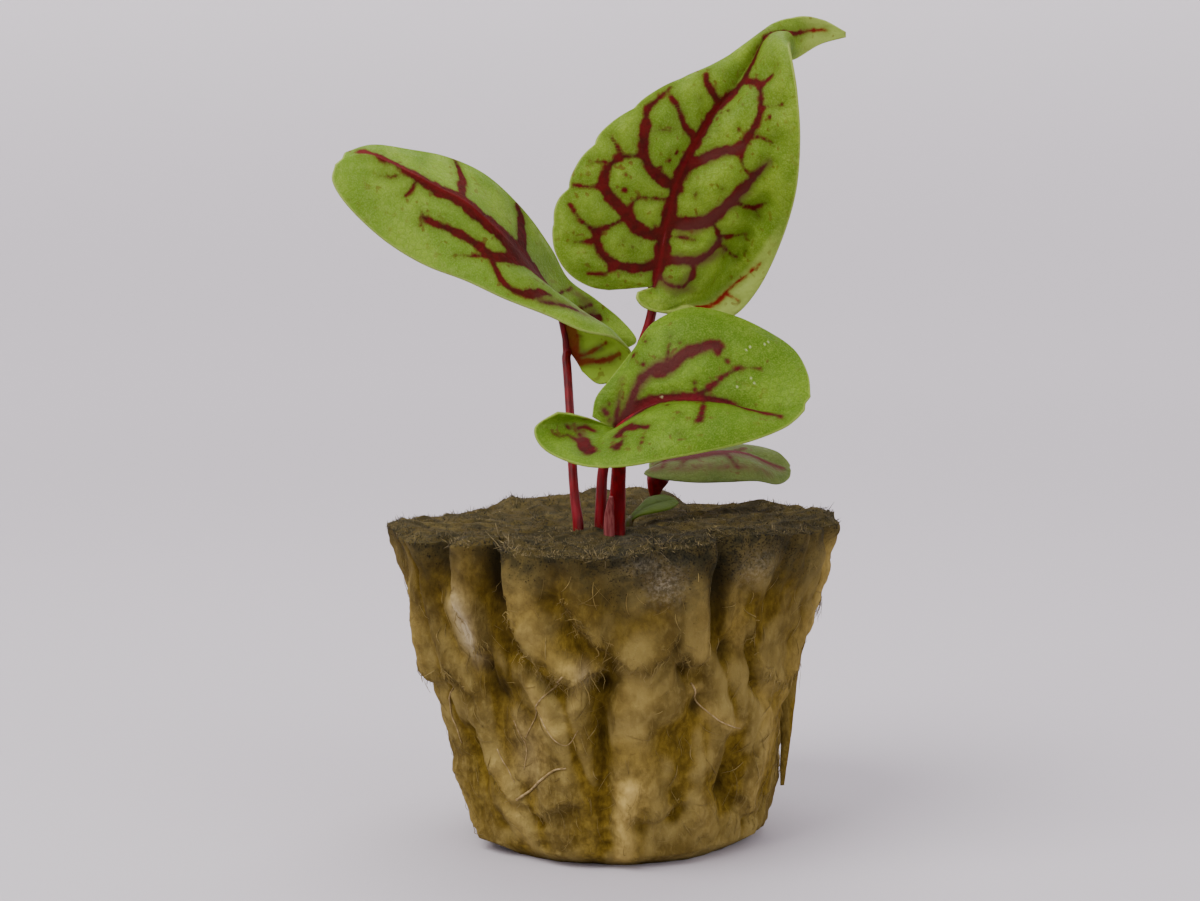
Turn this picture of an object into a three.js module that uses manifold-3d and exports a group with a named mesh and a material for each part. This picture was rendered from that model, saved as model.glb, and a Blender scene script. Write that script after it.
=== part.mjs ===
// Young red-veined sorrel growing in a tapered plug of stone wool.
// Millimetres, +Z up. The origin is the centre of the plug's flat underside, the best leaves
// look towards -Y, and +X is to the right of somebody who faces them.
// Directions round the plug are turns in degrees: 0 at the front, 90 at the right, 180 behind.

import * as THREE from "three";
import { mergeVertices } from "three/addons/utils/BufferGeometryUtils.js";
import Module from "manifold-3d";

// Driving dimensions
const PLUG_HEIGHT = 36.3; // underside to the usual level of the rim
const PLUG_TOP_RADIUS = 25; // a 50 mm plug
const PLUG_FOOT_RADIUS = 16; // just above the rounded bottom edge
const PLUG_BOTTOM_RADIUS = 14.4; // flat underside
const PLUG_EDGE_ROUND = 1.4; // height of the rounded bottom edge
const CROWN_DIP = 0.9; // the middle of the top lies this far under the rim
const BLADE_THICKNESS = 0.6; // every leaf blade
const FIT_GAP = 0.3; // clear space between two pieces that touch
const ROOTED_DEPTH = 5; // how far the stalks stand in the plug
const CREASE_PLACE = 0.72; // across the right half of the tall blade, 0 midrib, 1 edge
const CREASE_WIDTH = 0.16;
const FACING_REACH = 0.9; // how far round a point of a blade its facing is averaged
const MERGE_DISTANCE = 1e-4;

const rad = THREE.MathUtils.degToRad;
const wasm = await Module();
wasm.setup();

// Colours of the living plant and of the damp wool
const WOOL_OLIVE = 0x6b5c33;
const LEAF_GREEN = 0x86a53c;
const YOUNG_GREEN = 0x5f7a3c;
const SEED_GREEN = 0x3c5a1e;
const STALK_RED = 0x6e1626;
const SHEATH_PINK = 0xc49a94;

function material(colour, roughness) {
  return new THREE.MeshStandardMaterial({ color: colour, roughness, metalness: 0 });
}

function toSolid(geometry) {
  const bare = geometry.clone();
  bare.deleteAttribute("normal");
  bare.deleteAttribute("uv");
  const merged = mergeVertices(bare, MERGE_DISTANCE);
  return new wasm.Manifold(
    new wasm.Mesh({
      numProp: 3,
      vertProperties: new Float32Array(merged.attributes.position.array),
      triVerts: new Uint32Array(merged.index.array),
    }),
  );
}

function toGeometry(solid) {
  const mesh = solid.getMesh();
  const geometry = new THREE.BufferGeometry();
  geometry.setAttribute("position", new THREE.BufferAttribute(mesh.vertProperties, 3));
  geometry.setIndex(new THREE.BufferAttribute(mesh.triVerts, 1));
  geometry.computeVertexNormals();
  return geometry;
}

function indexedGeometry(points, triangles) {
  const geometry = new THREE.BufferGeometry().setFromPoints(points);
  geometry.setIndex(triangles);
  geometry.computeVertexNormals();
  return geometry;
}

function smoothCurve(points) {
  return new THREE.CatmullRomCurve3(
    points.map((p) => new THREE.Vector3(...p)),
    false,
    "catmullrom",
  );
}

// Leaf blades

// Each blade is a list of stations from the stalk to the tip. A station gives a point on the
// midrib, the points of the left and right edge that belong to it, how far each half bellies out
// towards the upper face, and where needed how deep a crease runs along the right half. Stations
// that share the first midrib point make the lobes fan out round the top of the stalk.
const TALL_BLADE = [
  { mid: [4.8, -8.2, 62.6], left: [0, -9.8, 62.4], right: [3, -10.5, 62.2], belly: [0.1, 0.1] },
  { mid: [4.8, -8.2, 62.6], left: [-2, -10.4, 62.8], right: [2.9, -10.8, 61.4], belly: [0.3, 0.1] },
  { mid: [4.8, -8.2, 62.6], left: [-3.8, -10.9, 63.8], right: [3.8, -10.4, 60.4], belly: [0.5, 0.2] },
  {
    mid: [4.8, -8.2, 62.6], left: [-5.2, -11.3, 65.4], right: [6, -9.2, 59.7],
    belly: [0.8, 0.3], crease: 0.2,
  },
  {
    mid: [5.5, -8, 65.6], left: [-6, -11.6, 67.7], right: [9.2, -7, 59.3],
    belly: [0.9, 0.4], crease: 1,
  },
  {
    mid: [6.3, -7.7, 69], left: [-5.8, -12, 71.1], right: [13.2, -5, 58.8],
    belly: [1, 0.5], crease: 2.2,
  },
  {
    mid: [7.6, -7.4, 73], left: [-4.2, -11.5, 74.3], right: [16.4, -4.5, 61.8],
    belly: [1, 0.6], crease: 2.8,
  },
  {
    mid: [9.2, -7, 76.6], left: [-1.6, -10.5, 78.4], right: [18.9, -6, 67],
    belly: [0.9, 0.8], crease: 2.4,
  },
  {
    mid: [11.3, -6.2, 80.5], left: [2.3, -9, 81.7], right: [20.4, -8.5, 72.5],
    belly: [0.7, 0.9], crease: 1,
  },
  {
    mid: [13.7, -5.5, 83.5], left: [6.8, -7, 84.5], right: [20.8, -10, 78.1],
    belly: [0.5, 0.8], crease: 0.2,
  },
  { mid: [15.9, -4.5, 86.5], left: [11.7, -5, 86.5], right: [20.5, -10.5, 83.2], belly: [0.3, 0.5] },
  { mid: [17.7, -3.8, 89.3], left: [15.9, -3.8, 89.1], right: [19.9, -9.4, 87.5], belly: [0.2, 0.3] },
  { mid: [19.7, -2.2, 90], left: [18.6, -2.2, 91], right: [20.1, -5.6, 88.4], belly: [0.1, 0.2] },
  { mid: [22.4, -0.2, 90.4], left: [21.6, -0.8, 91.8], right: [21.3, -1.6, 87.7], belly: [0, 0.1] },
  { mid: [24.7, 0.8, 90.2], left: [24.3, 0.6, 91.5], right: [24, 0.4, 88.7], belly: [0, 0] },
  { mid: [27, 1.4, 89.8], left: [27, 1.3, 90.1], right: [27, 1.3, 89.5], belly: [0, 0] },
];

const LEFT_BLADE = [
  { mid: [-4.6, 2, 55], left: [-3.3, 1.4, 52.8], right: [-2.4, 3.7, 54.5], belly: [0.1, -0.1] },
  { mid: [-4.65, 1.95, 55.4], left: [-1.4, 0.2, 51.4], right: [-0.4, 5.4, 54.5], belly: [0.3, -0.3] },
  { mid: [-4.7, 1.85, 55.9], left: [0.8, -0.8, 52.2], right: [1.8, 6.6, 54.9], belly: [0.4, -0.5] },
  { mid: [-4.8, 1.6, 56.8], left: [2.4, -1.6, 54.6], right: [3.1, 7, 55.9], belly: [0.6, -0.6] },
  { mid: [-5.3, 1, 58.7], left: [0.5, -4.5, 56.8], right: [1.3, 7, 58.3], belly: [1.1, -0.8] },
  { mid: [-5.9, 0, 60.7], left: [-3.1, -6, 57.8], right: [-1.5, 6, 60.7], belly: [1.2, -0.8] },
  { mid: [-7.2, -1.5, 62.8], left: [-6.8, -7.2, 59.6], right: [-4.6, 5, 63.1], belly: [1, -0.6] },
  { mid: [-9.2, -3, 65.5], left: [-11.4, -8.7, 61.6], right: [-6.5, 4, 66.7], belly: [0.6, -0.4] },
  { mid: [-11.8, -5, 68.5], left: [-15.5, -10, 63.7], right: [-9.4, 2, 71], belly: [0.2, -0.3] },
  { mid: [-15, -7, 71.7], left: [-19.9, -11.5, 65.6], right: [-13.4, 0, 75], belly: [0, -0.2] },
  { mid: [-18.5, -9, 73.9], left: [-23.9, -13, 68.3], right: [-17.5, -3, 77.1], belly: [0, -0.2] },
  { mid: [-22, -11, 75.8], left: [-27.4, -14, 71.8], right: [-21.5, -7, 78], belly: [0, -0.1] },
  { mid: [-25.4, -12.5, 77.3], left: [-29.1, -14.2, 74.6], right: [-25.1, -10.5, 78.5], belly: [0, 0] },
  { mid: [-28.1, -13.3, 77.1], left: [-28.8, -13.9, 76.5], right: [-27.9, -12.7, 77.7], belly: [0, 0] },
];

const FRONT_BLADE = [
  { mid: [0.5, -12.6, 47.5], left: [-2.2, -11.8, 48.9], right: [-5.8, -15.8, 49.9], belly: [0.2, 0.5] },
  { mid: [0.5, -12.6, 47.5], left: [-1.7, -11.4, 51], right: [-8.3, -16.8, 48.3], belly: [0.3, 0.8] },
  { mid: [0.5, -12.6, 47.5], left: [0.1, -11, 53.1], right: [-7.2, -18, 46], belly: [0.5, 0.9] },
  { mid: [0.5, -12.6, 47.5], left: [2.4, -10.6, 55.8], right: [-3.2, -20, 44.5], belly: [0.7, 0.8] },
  { mid: [3, -14.2, 49.6], left: [4.8, -10.4, 58.9], right: [1.2, -21.5, 44.5], belly: [0.8, 0.8] },
  { mid: [6, -15.2, 50.7], left: [8.8, -10.5, 60.4], right: [5.8, -22, 45.3], belly: [0.9, 1] },
  { mid: [9.2, -16.2, 50.8], left: [13.2, -11, 59.5], right: [10.5, -22, 46.1], belly: [0.9, 1] },
  { mid: [12.4, -16.9, 50.3], left: [16.8, -12, 57.8], right: [14.4, -21.5, 46.9], belly: [0.8, 0.8] },
  { mid: [15.2, -17.4, 49.6], left: [19.6, -13.5, 55.8], right: [17.7, -20.5, 48], belly: [0.6, 0.6] },
  { mid: [17.8, -18, 49.4], left: [20.8, -16, 53.4], right: [19.2, -19.7, 48.9], belly: [0.3, 0.3] },
  { mid: [20.3, -18.4, 50.4], left: [20.9, -18, 51.1], right: [20.2, -18.9, 49.8], belly: [0, 0] },
];

const SMALL_BLADE = [
  { mid: [4.7, 9, 40.2], left: [4.3, 9.9, 40.5], right: [4.1, 8.1, 40.2], belly: [0, 0] },
  { mid: [5.6, 9.2, 40.7], left: [4.5, 11.5, 41], right: [3.7, 6.8, 40.2], belly: [0.1, 0.3] },
  { mid: [7, 9.5, 41.4], left: [6.2, 13, 41.6], right: [5.4, 5.5, 39.8], belly: [0.2, 0.6] },
  { mid: [9.7, 10, 41.9], left: [9.9, 14.5, 42.1], right: [9.4, 4.6, 39.4], belly: [0.3, 1] },
  { mid: [12.7, 10.6, 42.2], left: [13.2, 15, 42.3], right: [13.3, 5.2, 39.3], belly: [0.3, 1] },
  { mid: [15.5, 11.2, 42], left: [16.5, 14.8, 42.4], right: [16.6, 6.4, 39.2], belly: [0.2, 0.7] },
  { mid: [18.2, 11.8, 41], left: [19.4, 13.9, 41.8], right: [19.2, 8.4, 38.5], belly: [0.1, 0.3] },
  { mid: [20.1, 12.2, 40.2], left: [20.6, 13.3, 40.9], right: [20.7, 10.4, 38.9], belly: [0, 0.1] },
  { mid: [21, 12.2, 40], left: [21.1, 12.5, 40.2], right: [21.1, 11.8, 39.7], belly: [0, 0] },
];

// The seed leaf is a small spoon that lies on the wool
const SEED_LEAF = [
  { mid: [2.6, -0.6, 36.6], left: [2.4, -0.1, 36.7], right: [2.9, -1.1, 36.6], belly: [0, 0] },
  { mid: [3.4, 0, 37], left: [3.0, 1.1, 37.3], right: [3.9, -1.1, 36.7], belly: [0.1, 0.1] },
  { mid: [4.6, 0.7, 37.4], left: [4, 2.4, 38], right: [5.2, -1, 36.9], belly: [0.2, 0.2] },
  { mid: [6, 1.6, 37.6], left: [5.6, 3.2, 38.2], right: [6.6, 0.1, 37.1], belly: [0.1, 0.1] },
  { mid: [7.3, 2.7, 37.6], left: [7, 3.2, 37.8], right: [7.5, 2.2, 37.4], belly: [0, 0] },
];

// The middle surface of a blade as rows of points, across from the left edge to the right edge
function bladeRows(stations, rows, halfColumns) {
  const last = stations.length - 1;
  const fan = stations.findLastIndex((s) => s.mid.join() === stations[0].mid.join());
  const midrib = smoothCurve(stations.slice(fan).map((s) => s.mid));
  const leftEdge = smoothCurve(stations.map((s) => s.left));
  const rightEdge = smoothCurve(stations.map((s) => s.right));
  const bellies = smoothCurve(stations.map((s) => [...s.belly, s.crease ?? 0]));
  const grid = [];
  for (let row = 0; row <= rows; row += 1) {
    const t = row / rows;
    const along = Math.max(0, (t * last - fan) / (last - fan));
    const mid = midrib.getPoint(along);
    const forwards = midrib.getTangent(along);
    const left = leftEdge.getPoint(t);
    const right = rightEdge.getPoint(t);
    const depth = bellies.getPoint(t);
    const leftUp = mid.clone().sub(left).cross(forwards).normalize();
    const rightUp = right.clone().sub(mid).cross(forwards).normalize();
    const line = [];
    for (let column = -halfColumns; column <= halfColumns; column += 1) {
      const across = Math.abs(column) / halfColumns;
      const arch = 4 * across * (1 - across);
      const crease = depth.z * Math.exp(-(((across - CREASE_PLACE) / CREASE_WIDTH) ** 2));
      const edge = column < 0 ? left : right;
      const up = column < 0 ? leftUp : rightUp;
      const lift = column < 0 ? depth.x * arch : depth.y * arch - crease;
      line.push(mid.clone().lerp(edge, across).addScaledVector(up, lift));
    }
    grid.push(line);
  }
  return grid;
}

// The direction in which a blade faces at a point: the mean of its triangles, near ones first.
// It turns so slowly that the two faces of the blade never cut each other, even in a tight fold.
function facing(point, centres, normals) {
  const sum = new THREE.Vector3();
  centres.forEach((centre, index) => {
    const nearness = Math.exp(-centre.distanceToSquared(point) / FACING_REACH ** 2);
    sum.addScaledVector(normals[index], nearness);
  });
  return sum.normalize();
}

// A blade of even thickness: both faces use the same triangles, and a wall joins their edges
function bladeGeometry(stations, rows, halfColumns) {
  const grid = bladeRows(stations, rows, halfColumns);
  const middle = [];
  // The rows of the fan share one point on the midrib
  const index = grid.map((line, row) =>
    line.map((point, column) => {
      const fanned = row > 0 && column === halfColumns;
      if (fanned && point.distanceTo(middle[halfColumns]) < MERGE_DISTANCE) return halfColumns;
      return middle.push(point) - 1;
    }),
  );
  const faces = [];
  const addFace = (a, b, c) => {
    if (a !== b && b !== c && c !== a) faces.push([a, b, c]);
  };
  for (let row = 0; row < rows; row += 1) {
    for (let column = 0; column < 2 * halfColumns; column += 1) {
      const [a, b] = [index[row][column], index[row][column + 1]];
      const [c, d] = [index[row + 1][column], index[row + 1][column + 1]];
      if (middle[a].distanceTo(middle[d]) < middle[b].distanceTo(middle[c])) {
        addFace(a, b, d);
        addFace(a, d, c);
      } else {
        addFace(a, b, c);
        addFace(b, d, c);
      }
    }
  }
  const corners = (triangle) => triangle.map((corner) => middle[corner]);
  const centres = faces.map((triangle) => {
    const [p, q, r] = corners(triangle);
    return p.clone().add(q).add(r).divideScalar(3);
  });
  const normals = faces.map((triangle) => {
    const [p, q, r] = corners(triangle);
    return q.clone().sub(p).cross(r.clone().sub(p));
  });
  const up = middle.map((point) => facing(point, centres, normals));
  const face = (side) =>
    middle.map((point, place) =>
      point.clone().addScaledVector(up[place], (side * BLADE_THICKNESS) / 2),
    );
  const count = middle.length;
  const triangles = [];
  for (const [a, b, c] of faces) triangles.push(a, b, c, a + count, c + count, b + count);
  const rim = [
    ...index[0].slice(0, -1),
    ...index.slice(0, -1).map((line) => line.at(-1)),
    ...index[rows].slice(1).reverse(),
    ...index.slice(1).map((line) => line[0]).reverse(),
  ];
  rim.forEach((from, place) => {
    const to = rim[(place + 1) % rim.length];
    triangles.push(to, from, from + count, to, from + count, to + count);
  });
  return indexedGeometry([...face(1), ...face(-1)], triangles);
}

// Stalks

// Points from the foot in the plug to the blade, with the stalk's radius at each
const TALL_STALK = [
  { at: [-1.6, -4, 35.7], radius: 0.65 },
  { at: [-1.4, -4, 38.8], radius: 0.62 },
  { at: [-1.1, -4.2, 42.2], radius: 0.6 },
  { at: [0, -5, 46.7], radius: 0.58 },
  { at: [2.3, -6.6, 53.5], radius: 0.55 },
  { at: [4.2, -7.5, 58.4], radius: 0.55 },
  { at: [4.9, -7.7, 61.8], radius: 0.55 },
];
const LEFT_STALK = [
  { at: [-4, -4.5, 35.7], radius: 0.62 },
  { at: [-4.3, -4, 38.8], radius: 0.56 },
  { at: [-4.5, -3.2, 42.1], radius: 0.52 },
  { at: [-4.7, -1, 48.5], radius: 0.5 },
  { at: [-4.9, 0.7, 52.8], radius: 0.5 },
  { at: [-5, 1.4, 54.3], radius: 0.5 },
];
const FRONT_STALK = [
  { at: [0.3, -6, 35.7], radius: 0.95 },
  { at: [0.4, -6.6, 39.1], radius: 0.88 },
  { at: [0.6, -8, 42.6], radius: 0.8 },
  { at: [0.7, -9.8, 45], radius: 0.75 },
  { at: [0.5, -12, 46.6], radius: 0.7 },
];
// The small leaf's stalk widens like a funnel under its blade
const SMALL_STALK = [
  { at: [4.8, 11, 35.7], radius: 0.45 },
  { at: [4.9, 10.7, 37.1], radius: 0.5 },
  { at: [5, 10.1, 38.3], radius: 0.8 },
  { at: [5.3, 9.6, 39.2], radius: 1.15 },
];
const SEED_STALK = [
  { at: [1.7, -1, 35.4], radius: 0.45 },
  { at: [1.9, -0.9, 36], radius: 0.4 },
  { at: [2.1, -0.8, 36.4], radius: 0.35 },
];
const STALK_SIDES = 8;
const STALK_STEP = 1.6;

// A round stem through the given points, closed with a flat cap at both ends
function stemGeometry(points, sides, steps) {
  const path = smoothCurve(points.map((p) => p.at));
  const radii = smoothCurve(points.map((p) => [p.radius, 0, 0]));
  const frames = path.computeFrenetFrames(steps, false);
  const vertices = [];
  for (let step = 0; step <= steps; step += 1) {
    const t = step / steps;
    const centre = path.getPointAt(t);
    const radius = radii.getPoint(path.getUtoTmapping(t)).x;
    for (let side = 0; side < sides; side += 1) {
      const angle = (2 * Math.PI * side) / sides;
      const point = centre.clone();
      point.addScaledVector(frames.normals[step], radius * Math.cos(angle));
      point.addScaledVector(frames.binormals[step], radius * Math.sin(angle));
      vertices.push(point);
    }
  }
  const triangles = [];
  for (let step = 0; step < steps; step += 1) {
    for (let side = 0; side < sides; side += 1) {
      const a = step * sides + side;
      const b = step * sides + ((side + 1) % sides);
      triangles.push(a, b, a + sides, b, b + sides, a + sides);
    }
  }
  const last = steps * sides;
  for (let side = 1; side < sides - 1; side += 1) {
    triangles.push(0, side + 1, side, last, last + side, last + side + 1);
  }
  return indexedGeometry(vertices, triangles);
}

// A stalk stands straight in the plug first, then follows its points
function rootedStalk(points) {
  const [x, y, z] = points[0].at;
  const rooted = { at: [x, y, z - ROOTED_DEPTH], radius: points[0].radius };
  const all = [rooted, ...points];
  const length = smoothCurve(all.map((p) => p.at)).getLength();
  return stemGeometry(all, STALK_SIDES, Math.round(length / STALK_STEP));
}

// Plug of stone wool

// Rim level against PLUG_HEIGHT, round the plug
const RIM_LEVEL = [
  { turn: -180, level: 0.1 },
  { turn: -150, level: 0 },
  { turn: -142, level: -1.1 },
  { turn: -120, level: -0.9 },
  { turn: -90, level: 0.1 },
  { turn: -60, level: -0.3 },
  { turn: -34, level: 0.6 },
  { turn: -20, level: -0.2 },
  { turn: -3, level: -0.4 },
  { turn: 10, level: 0.5 },
  { turn: 34, level: 0.9 },
  { turn: 60, level: 0.2 },
  { turn: 90, level: 0.2 },
  { turn: 118, level: -0.9 },
  { turn: 156, level: -1.5 },
  { turn: 164, level: 0 },
];

// Dents (depth above 0) and swellings (depth below 0) in the side of the plug
const HOLLOWS = [
  { turn: -52, height: 35.2, halfTurn: 6, halfHeight: 3.6, depth: 3.6 },
  { turn: -32.6, height: 34.6, halfTurn: 2.8, halfHeight: 4, depth: 4 },
  { turn: -44, height: 26, halfTurn: 6, halfHeight: 3.4, depth: 0.9 },
  { turn: -31, height: 15.5, halfTurn: 13, halfHeight: 5.6, depth: 1.3 },
  { turn: -3, height: 21.3, halfTurn: 3.4, halfHeight: 1.4, depth: 1.9 },
  { turn: -5.5, height: 15.6, halfTurn: 2.6, halfHeight: 5, depth: 1.2 },
  { turn: 18.3, height: 23, halfTurn: 3, halfHeight: 1.7, depth: 2 },
  { turn: 24.5, height: 18.6, halfTurn: 3, halfHeight: 1.8, depth: 1.5 },
  { turn: 28, height: 31.5, halfTurn: 2.2, halfHeight: 6, depth: 1.7 },
  { turn: 35, height: 31, halfTurn: 2, halfHeight: 6, depth: 1 },
  { turn: 33, height: 24, halfTurn: 4, halfHeight: 1.3, depth: 1.6 },
  { turn: 46, height: 30, halfTurn: 3, halfHeight: 4, depth: 1.1 },
  { turn: 39, height: 10.5, halfTurn: 2.8, halfHeight: 3.4, depth: 1.4 },
  { turn: 84, height: 17, halfTurn: 13, halfHeight: 6, depth: 1.6 },
  { turn: -88, height: 20.6, halfTurn: 9, halfHeight: 2, depth: 0.9 },
  { turn: -88, height: 11, halfTurn: 9, halfHeight: 1.7, depth: 1.1 },
  { turn: -60, height: 12, halfTurn: 4, halfHeight: 5, depth: 1.1 },
  { turn: 110, height: 24, halfTurn: 6, halfHeight: 5, depth: 1.6 },
  { turn: 150, height: 15, halfTurn: 5, halfHeight: 4, depth: 1.4 },
  { turn: 176, height: 30, halfTurn: 3, halfHeight: 5, depth: 1.6 },
  { turn: -110, height: 20, halfTurn: 5, halfHeight: 6, depth: 1.5 },
  { turn: -155, height: 27, halfTurn: 6, halfHeight: 3, depth: 1.6 },
  { turn: 1.5, height: 5.5, halfTurn: 3.4, halfHeight: 4.5, depth: -0.8 },
  { turn: -88, height: 7.6, halfTurn: 12, halfHeight: 2, depth: -0.5 },
  { turn: 12, height: 27, halfTurn: 8, halfHeight: 5, depth: -0.6 },
];

// Flaps of torn wool. A flap lifts more and more from its top towards its lower edge, a line
// through [turn, height] points from left to right, where it ends in a step.
const FLAPS = [
  { top: 38, lift: 1.6, edge: [[-31, 37], [-28, 29], [-25, 24], [-19, 21.8], [-10, 21.4], [0, 24]] },
  { top: 35, lift: 1.3, edge: [[-15, 32], [-10, 28], [-4, 25], [2, 23.4], [9, 22.6], [16, 24.5], [20, 28]] },
  { top: 36, lift: 1, edge: [[15, 25], [20, 22.6], [27, 24.4]] },
  { top: 33, lift: 1, edge: [[37, 27], [46, 20.5], [58, 18], [70, 22]] },
  { top: 37, lift: 1.1, edge: [[-47, 31], [-43, 24], [-37, 25.5]] },
  { top: 31, lift: 1.2, edge: [[-80, 24], [-70, 19.5], [-56, 21], [-47, 18.5]] },
  { top: 17, lift: 0.9, edge: [[-52, 11], [-42, 7.5], [-27, 6], [-14, 8]] },
  { top: 19, lift: 1.1, edge: [[-5, 10], [2, 6.5], [12, 5.5], [25, 8]] },
  { top: 16, lift: 1, edge: [[42, 8], [55, 4.5], [70, 6]] },
  { top: 33, lift: 1.3, edge: [[92, 26], [108, 20], [128, 18], [140, 23]] },
  { top: 27, lift: 1.2, edge: [[156, 17], [172, 12.5], [196, 16]] },
  { top: 35, lift: 1.4, edge: [[-142, 27], [-128, 23], [-104, 26]] },
  { top: 19, lift: 1, edge: [[-158, 11], [-135, 7.5], [-112, 9.5]] },
];

// A strand of wool that has come loose and hangs down the right side
const STRAND = [
  { at: [20.6, -3.4, 27.5], radius: 0.9 },
  { at: [20.7, -3.8, 24], radius: 0.9 },
  { at: [19.6, -4, 19.5], radius: 0.8 },
  { at: [18.9, -4, 15], radius: 0.6 },
  { at: [18.7, -4, 11], radius: 0.45 },
  { at: [18.4, -4, 5.8], radius: 0.2 },
];
const STRAND_STEPS = 12;

const SIDE_TURNS = 84;
const SIDE_LEVELS = 27;
const TOP_RINGS = [0.9, 0.76, 0.6, 0.42, 0.22]; // shares of the rim's radius
const RIM_EDGE = 0.5; // the side ends this far under the level of the rim
const FLAP_END = 2.5; // degrees over which a flap runs out at both ends

const smoothStep = (from, to, value) => THREE.MathUtils.smoothstep(value, from, to);

// Shortest signed difference between two turns, in degrees
function turnBetween(from, to) {
  return ((((to - from + 180) % 360) + 360) % 360) - 180;
}

function rimLevel(turn) {
  const around = turnBetween(0, turn);
  let before = RIM_LEVEL.length - 1;
  while (before > 0 && RIM_LEVEL[before].turn > around) before -= 1;
  const start = RIM_LEVEL[before];
  const end = RIM_LEVEL[(before + 1) % RIM_LEVEL.length];
  const span = turnBetween(start.turn, end.turn);
  const share = turnBetween(start.turn, around) / span;
  return THREE.MathUtils.lerp(start.level, end.level, share * share * (3 - 2 * share));
}

// Soft lumps of the wool, the same at every build
function lumps(turn, height) {
  const a = rad(turn);
  const broad = 0.28 * Math.sin(3 * a + 0.21 * height + 0.6) * Math.cos(2 * a - 0.17 * height);
  const middle = 0.2 * Math.sin(9 * a + 0.5 * height) * Math.cos(4 * a - 0.62 * height + 1.1);
  const fine = 0.12 * Math.sin(21 * a - 0.8 * height) * Math.sin(11 * a + 1.3 * height);
  return broad + middle + fine;
}

// How far a flap stands out of the side at one place, 0 outside its turns and under its edge
function flapLift({ top, lift, edge }, turn, height) {
  const start = edge[0][0];
  const width = edge.at(-1)[0] - start;
  const along = turnBetween(start, turn);
  if (along <= 0 || along >= width) return 0;
  const next = edge.findIndex(([edgeTurn]) => edgeTurn - start > along);
  const [fromTurn, fromHeight] = edge[next - 1];
  const [toTurn, toHeight] = edge[next];
  const share = (along - (fromTurn - start)) / (toTurn - fromTurn);
  const low = THREE.MathUtils.lerp(fromHeight, toHeight, share);
  if (height < low || height > top) return 0;
  const ends = smoothStep(0, FLAP_END, along) * smoothStep(0, FLAP_END, width - along);
  return (lift * ends * (top - height)) / (top - low);
}

function sideRadius(turn, height) {
  const share = height / PLUG_HEIGHT;
  const taper = THREE.MathUtils.lerp(PLUG_FOOT_RADIUS, PLUG_TOP_RADIUS, share ** 0.96);
  let radius = taper + lumps(turn, height);
  for (const hollow of HOLLOWS) {
    const sideways = turnBetween(hollow.turn, turn) / hollow.halfTurn;
    const upwards = (height - hollow.height) / hollow.halfHeight;
    radius -= hollow.depth * Math.exp(-(sideways ** 2) - upwards ** 2);
  }
  for (const flap of FLAPS) radius += flapLift(flap, turn, height);
  return radius;
}

function plugPoint(turn, radius, height) {
  return new THREE.Vector3(radius * Math.sin(rad(turn)), -radius * Math.cos(rad(turn)), height);
}

// Level of the crown at a share of the radius, 1 at the rim and 0 in the middle
function crownHeight(turn, share) {
  const waves = 0.25 * Math.sin(5 * rad(turn) + 7 * share) * Math.sin(3 * rad(turn) - 9 * share);
  const rim = rimLevel(turn) * smoothStep(0.35, 1, share);
  const dip = CROWN_DIP * (1 - smoothStep(0.5, 1, share));
  return PLUG_HEIGHT + rim - dip + waves * share;
}

// The plug is lofted through rings from the underside up the side and in over the crown
function plugGeometry() {
  const rings = [];
  const ring = (pointAt) => {
    const points = [];
    for (let index = 0; index < SIDE_TURNS; index += 1) {
      points.push(pointAt((360 * index) / SIDE_TURNS));
    }
    rings.push(points);
  };
  ring((turn) => plugPoint(turn, PLUG_BOTTOM_RADIUS + lumps(turn, 0), 0));
  for (let level = 0; level <= SIDE_LEVELS; level += 1) {
    ring((turn) => {
      const top = crownHeight(turn, 1) - RIM_EDGE;
      const height = THREE.MathUtils.lerp(PLUG_EDGE_ROUND, top, level / SIDE_LEVELS);
      return plugPoint(turn, sideRadius(turn, height), height);
    });
  }
  for (const share of TOP_RINGS) {
    ring((turn) => {
      const reach = sideRadius(turn, PLUG_HEIGHT);
      return plugPoint(turn, reach * share, crownHeight(turn, share));
    });
  }
  const points = rings.flat();
  const triangles = [];
  for (let row = 0; row < rings.length - 1; row += 1) {
    for (let index = 0; index < SIDE_TURNS; index += 1) {
      const a = row * SIDE_TURNS + index;
      const b = row * SIDE_TURNS + ((index + 1) % SIDE_TURNS);
      triangles.push(a, b, b + SIDE_TURNS, a, b + SIDE_TURNS, a + SIDE_TURNS);
    }
  }
  const underside = points.push(new THREE.Vector3(0, 0, 0)) - 1;
  const crown = points.push(new THREE.Vector3(0, 0, crownHeight(0, 0))) - 1;
  const lastRing = (rings.length - 1) * SIDE_TURNS;
  for (let index = 0; index < SIDE_TURNS; index += 1) {
    const next = (index + 1) % SIDE_TURNS;
    triangles.push(underside, next, index, crown, lastRing + index, lastRing + next);
  }
  return indexedGeometry(points, triangles);
}

// A plain round hole under each stalk's foot
const HOLE_LENGTH = 12;
const HOLE_SIDES = 12;

function footHole(points) {
  const [x, y, z] = points[0].at;
  const radius = (points[0].radius + FIT_GAP) / Math.cos(Math.PI / HOLE_SIDES);
  const hole = new THREE.CylinderGeometry(radius, radius, HOLE_LENGTH, HOLE_SIDES);
  hole.rotateX(Math.PI / 2);
  hole.translate(x, y, z - ROOTED_DEPTH - FIT_GAP + HOLE_LENGTH / 2);
  return toSolid(hole);
}

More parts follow.
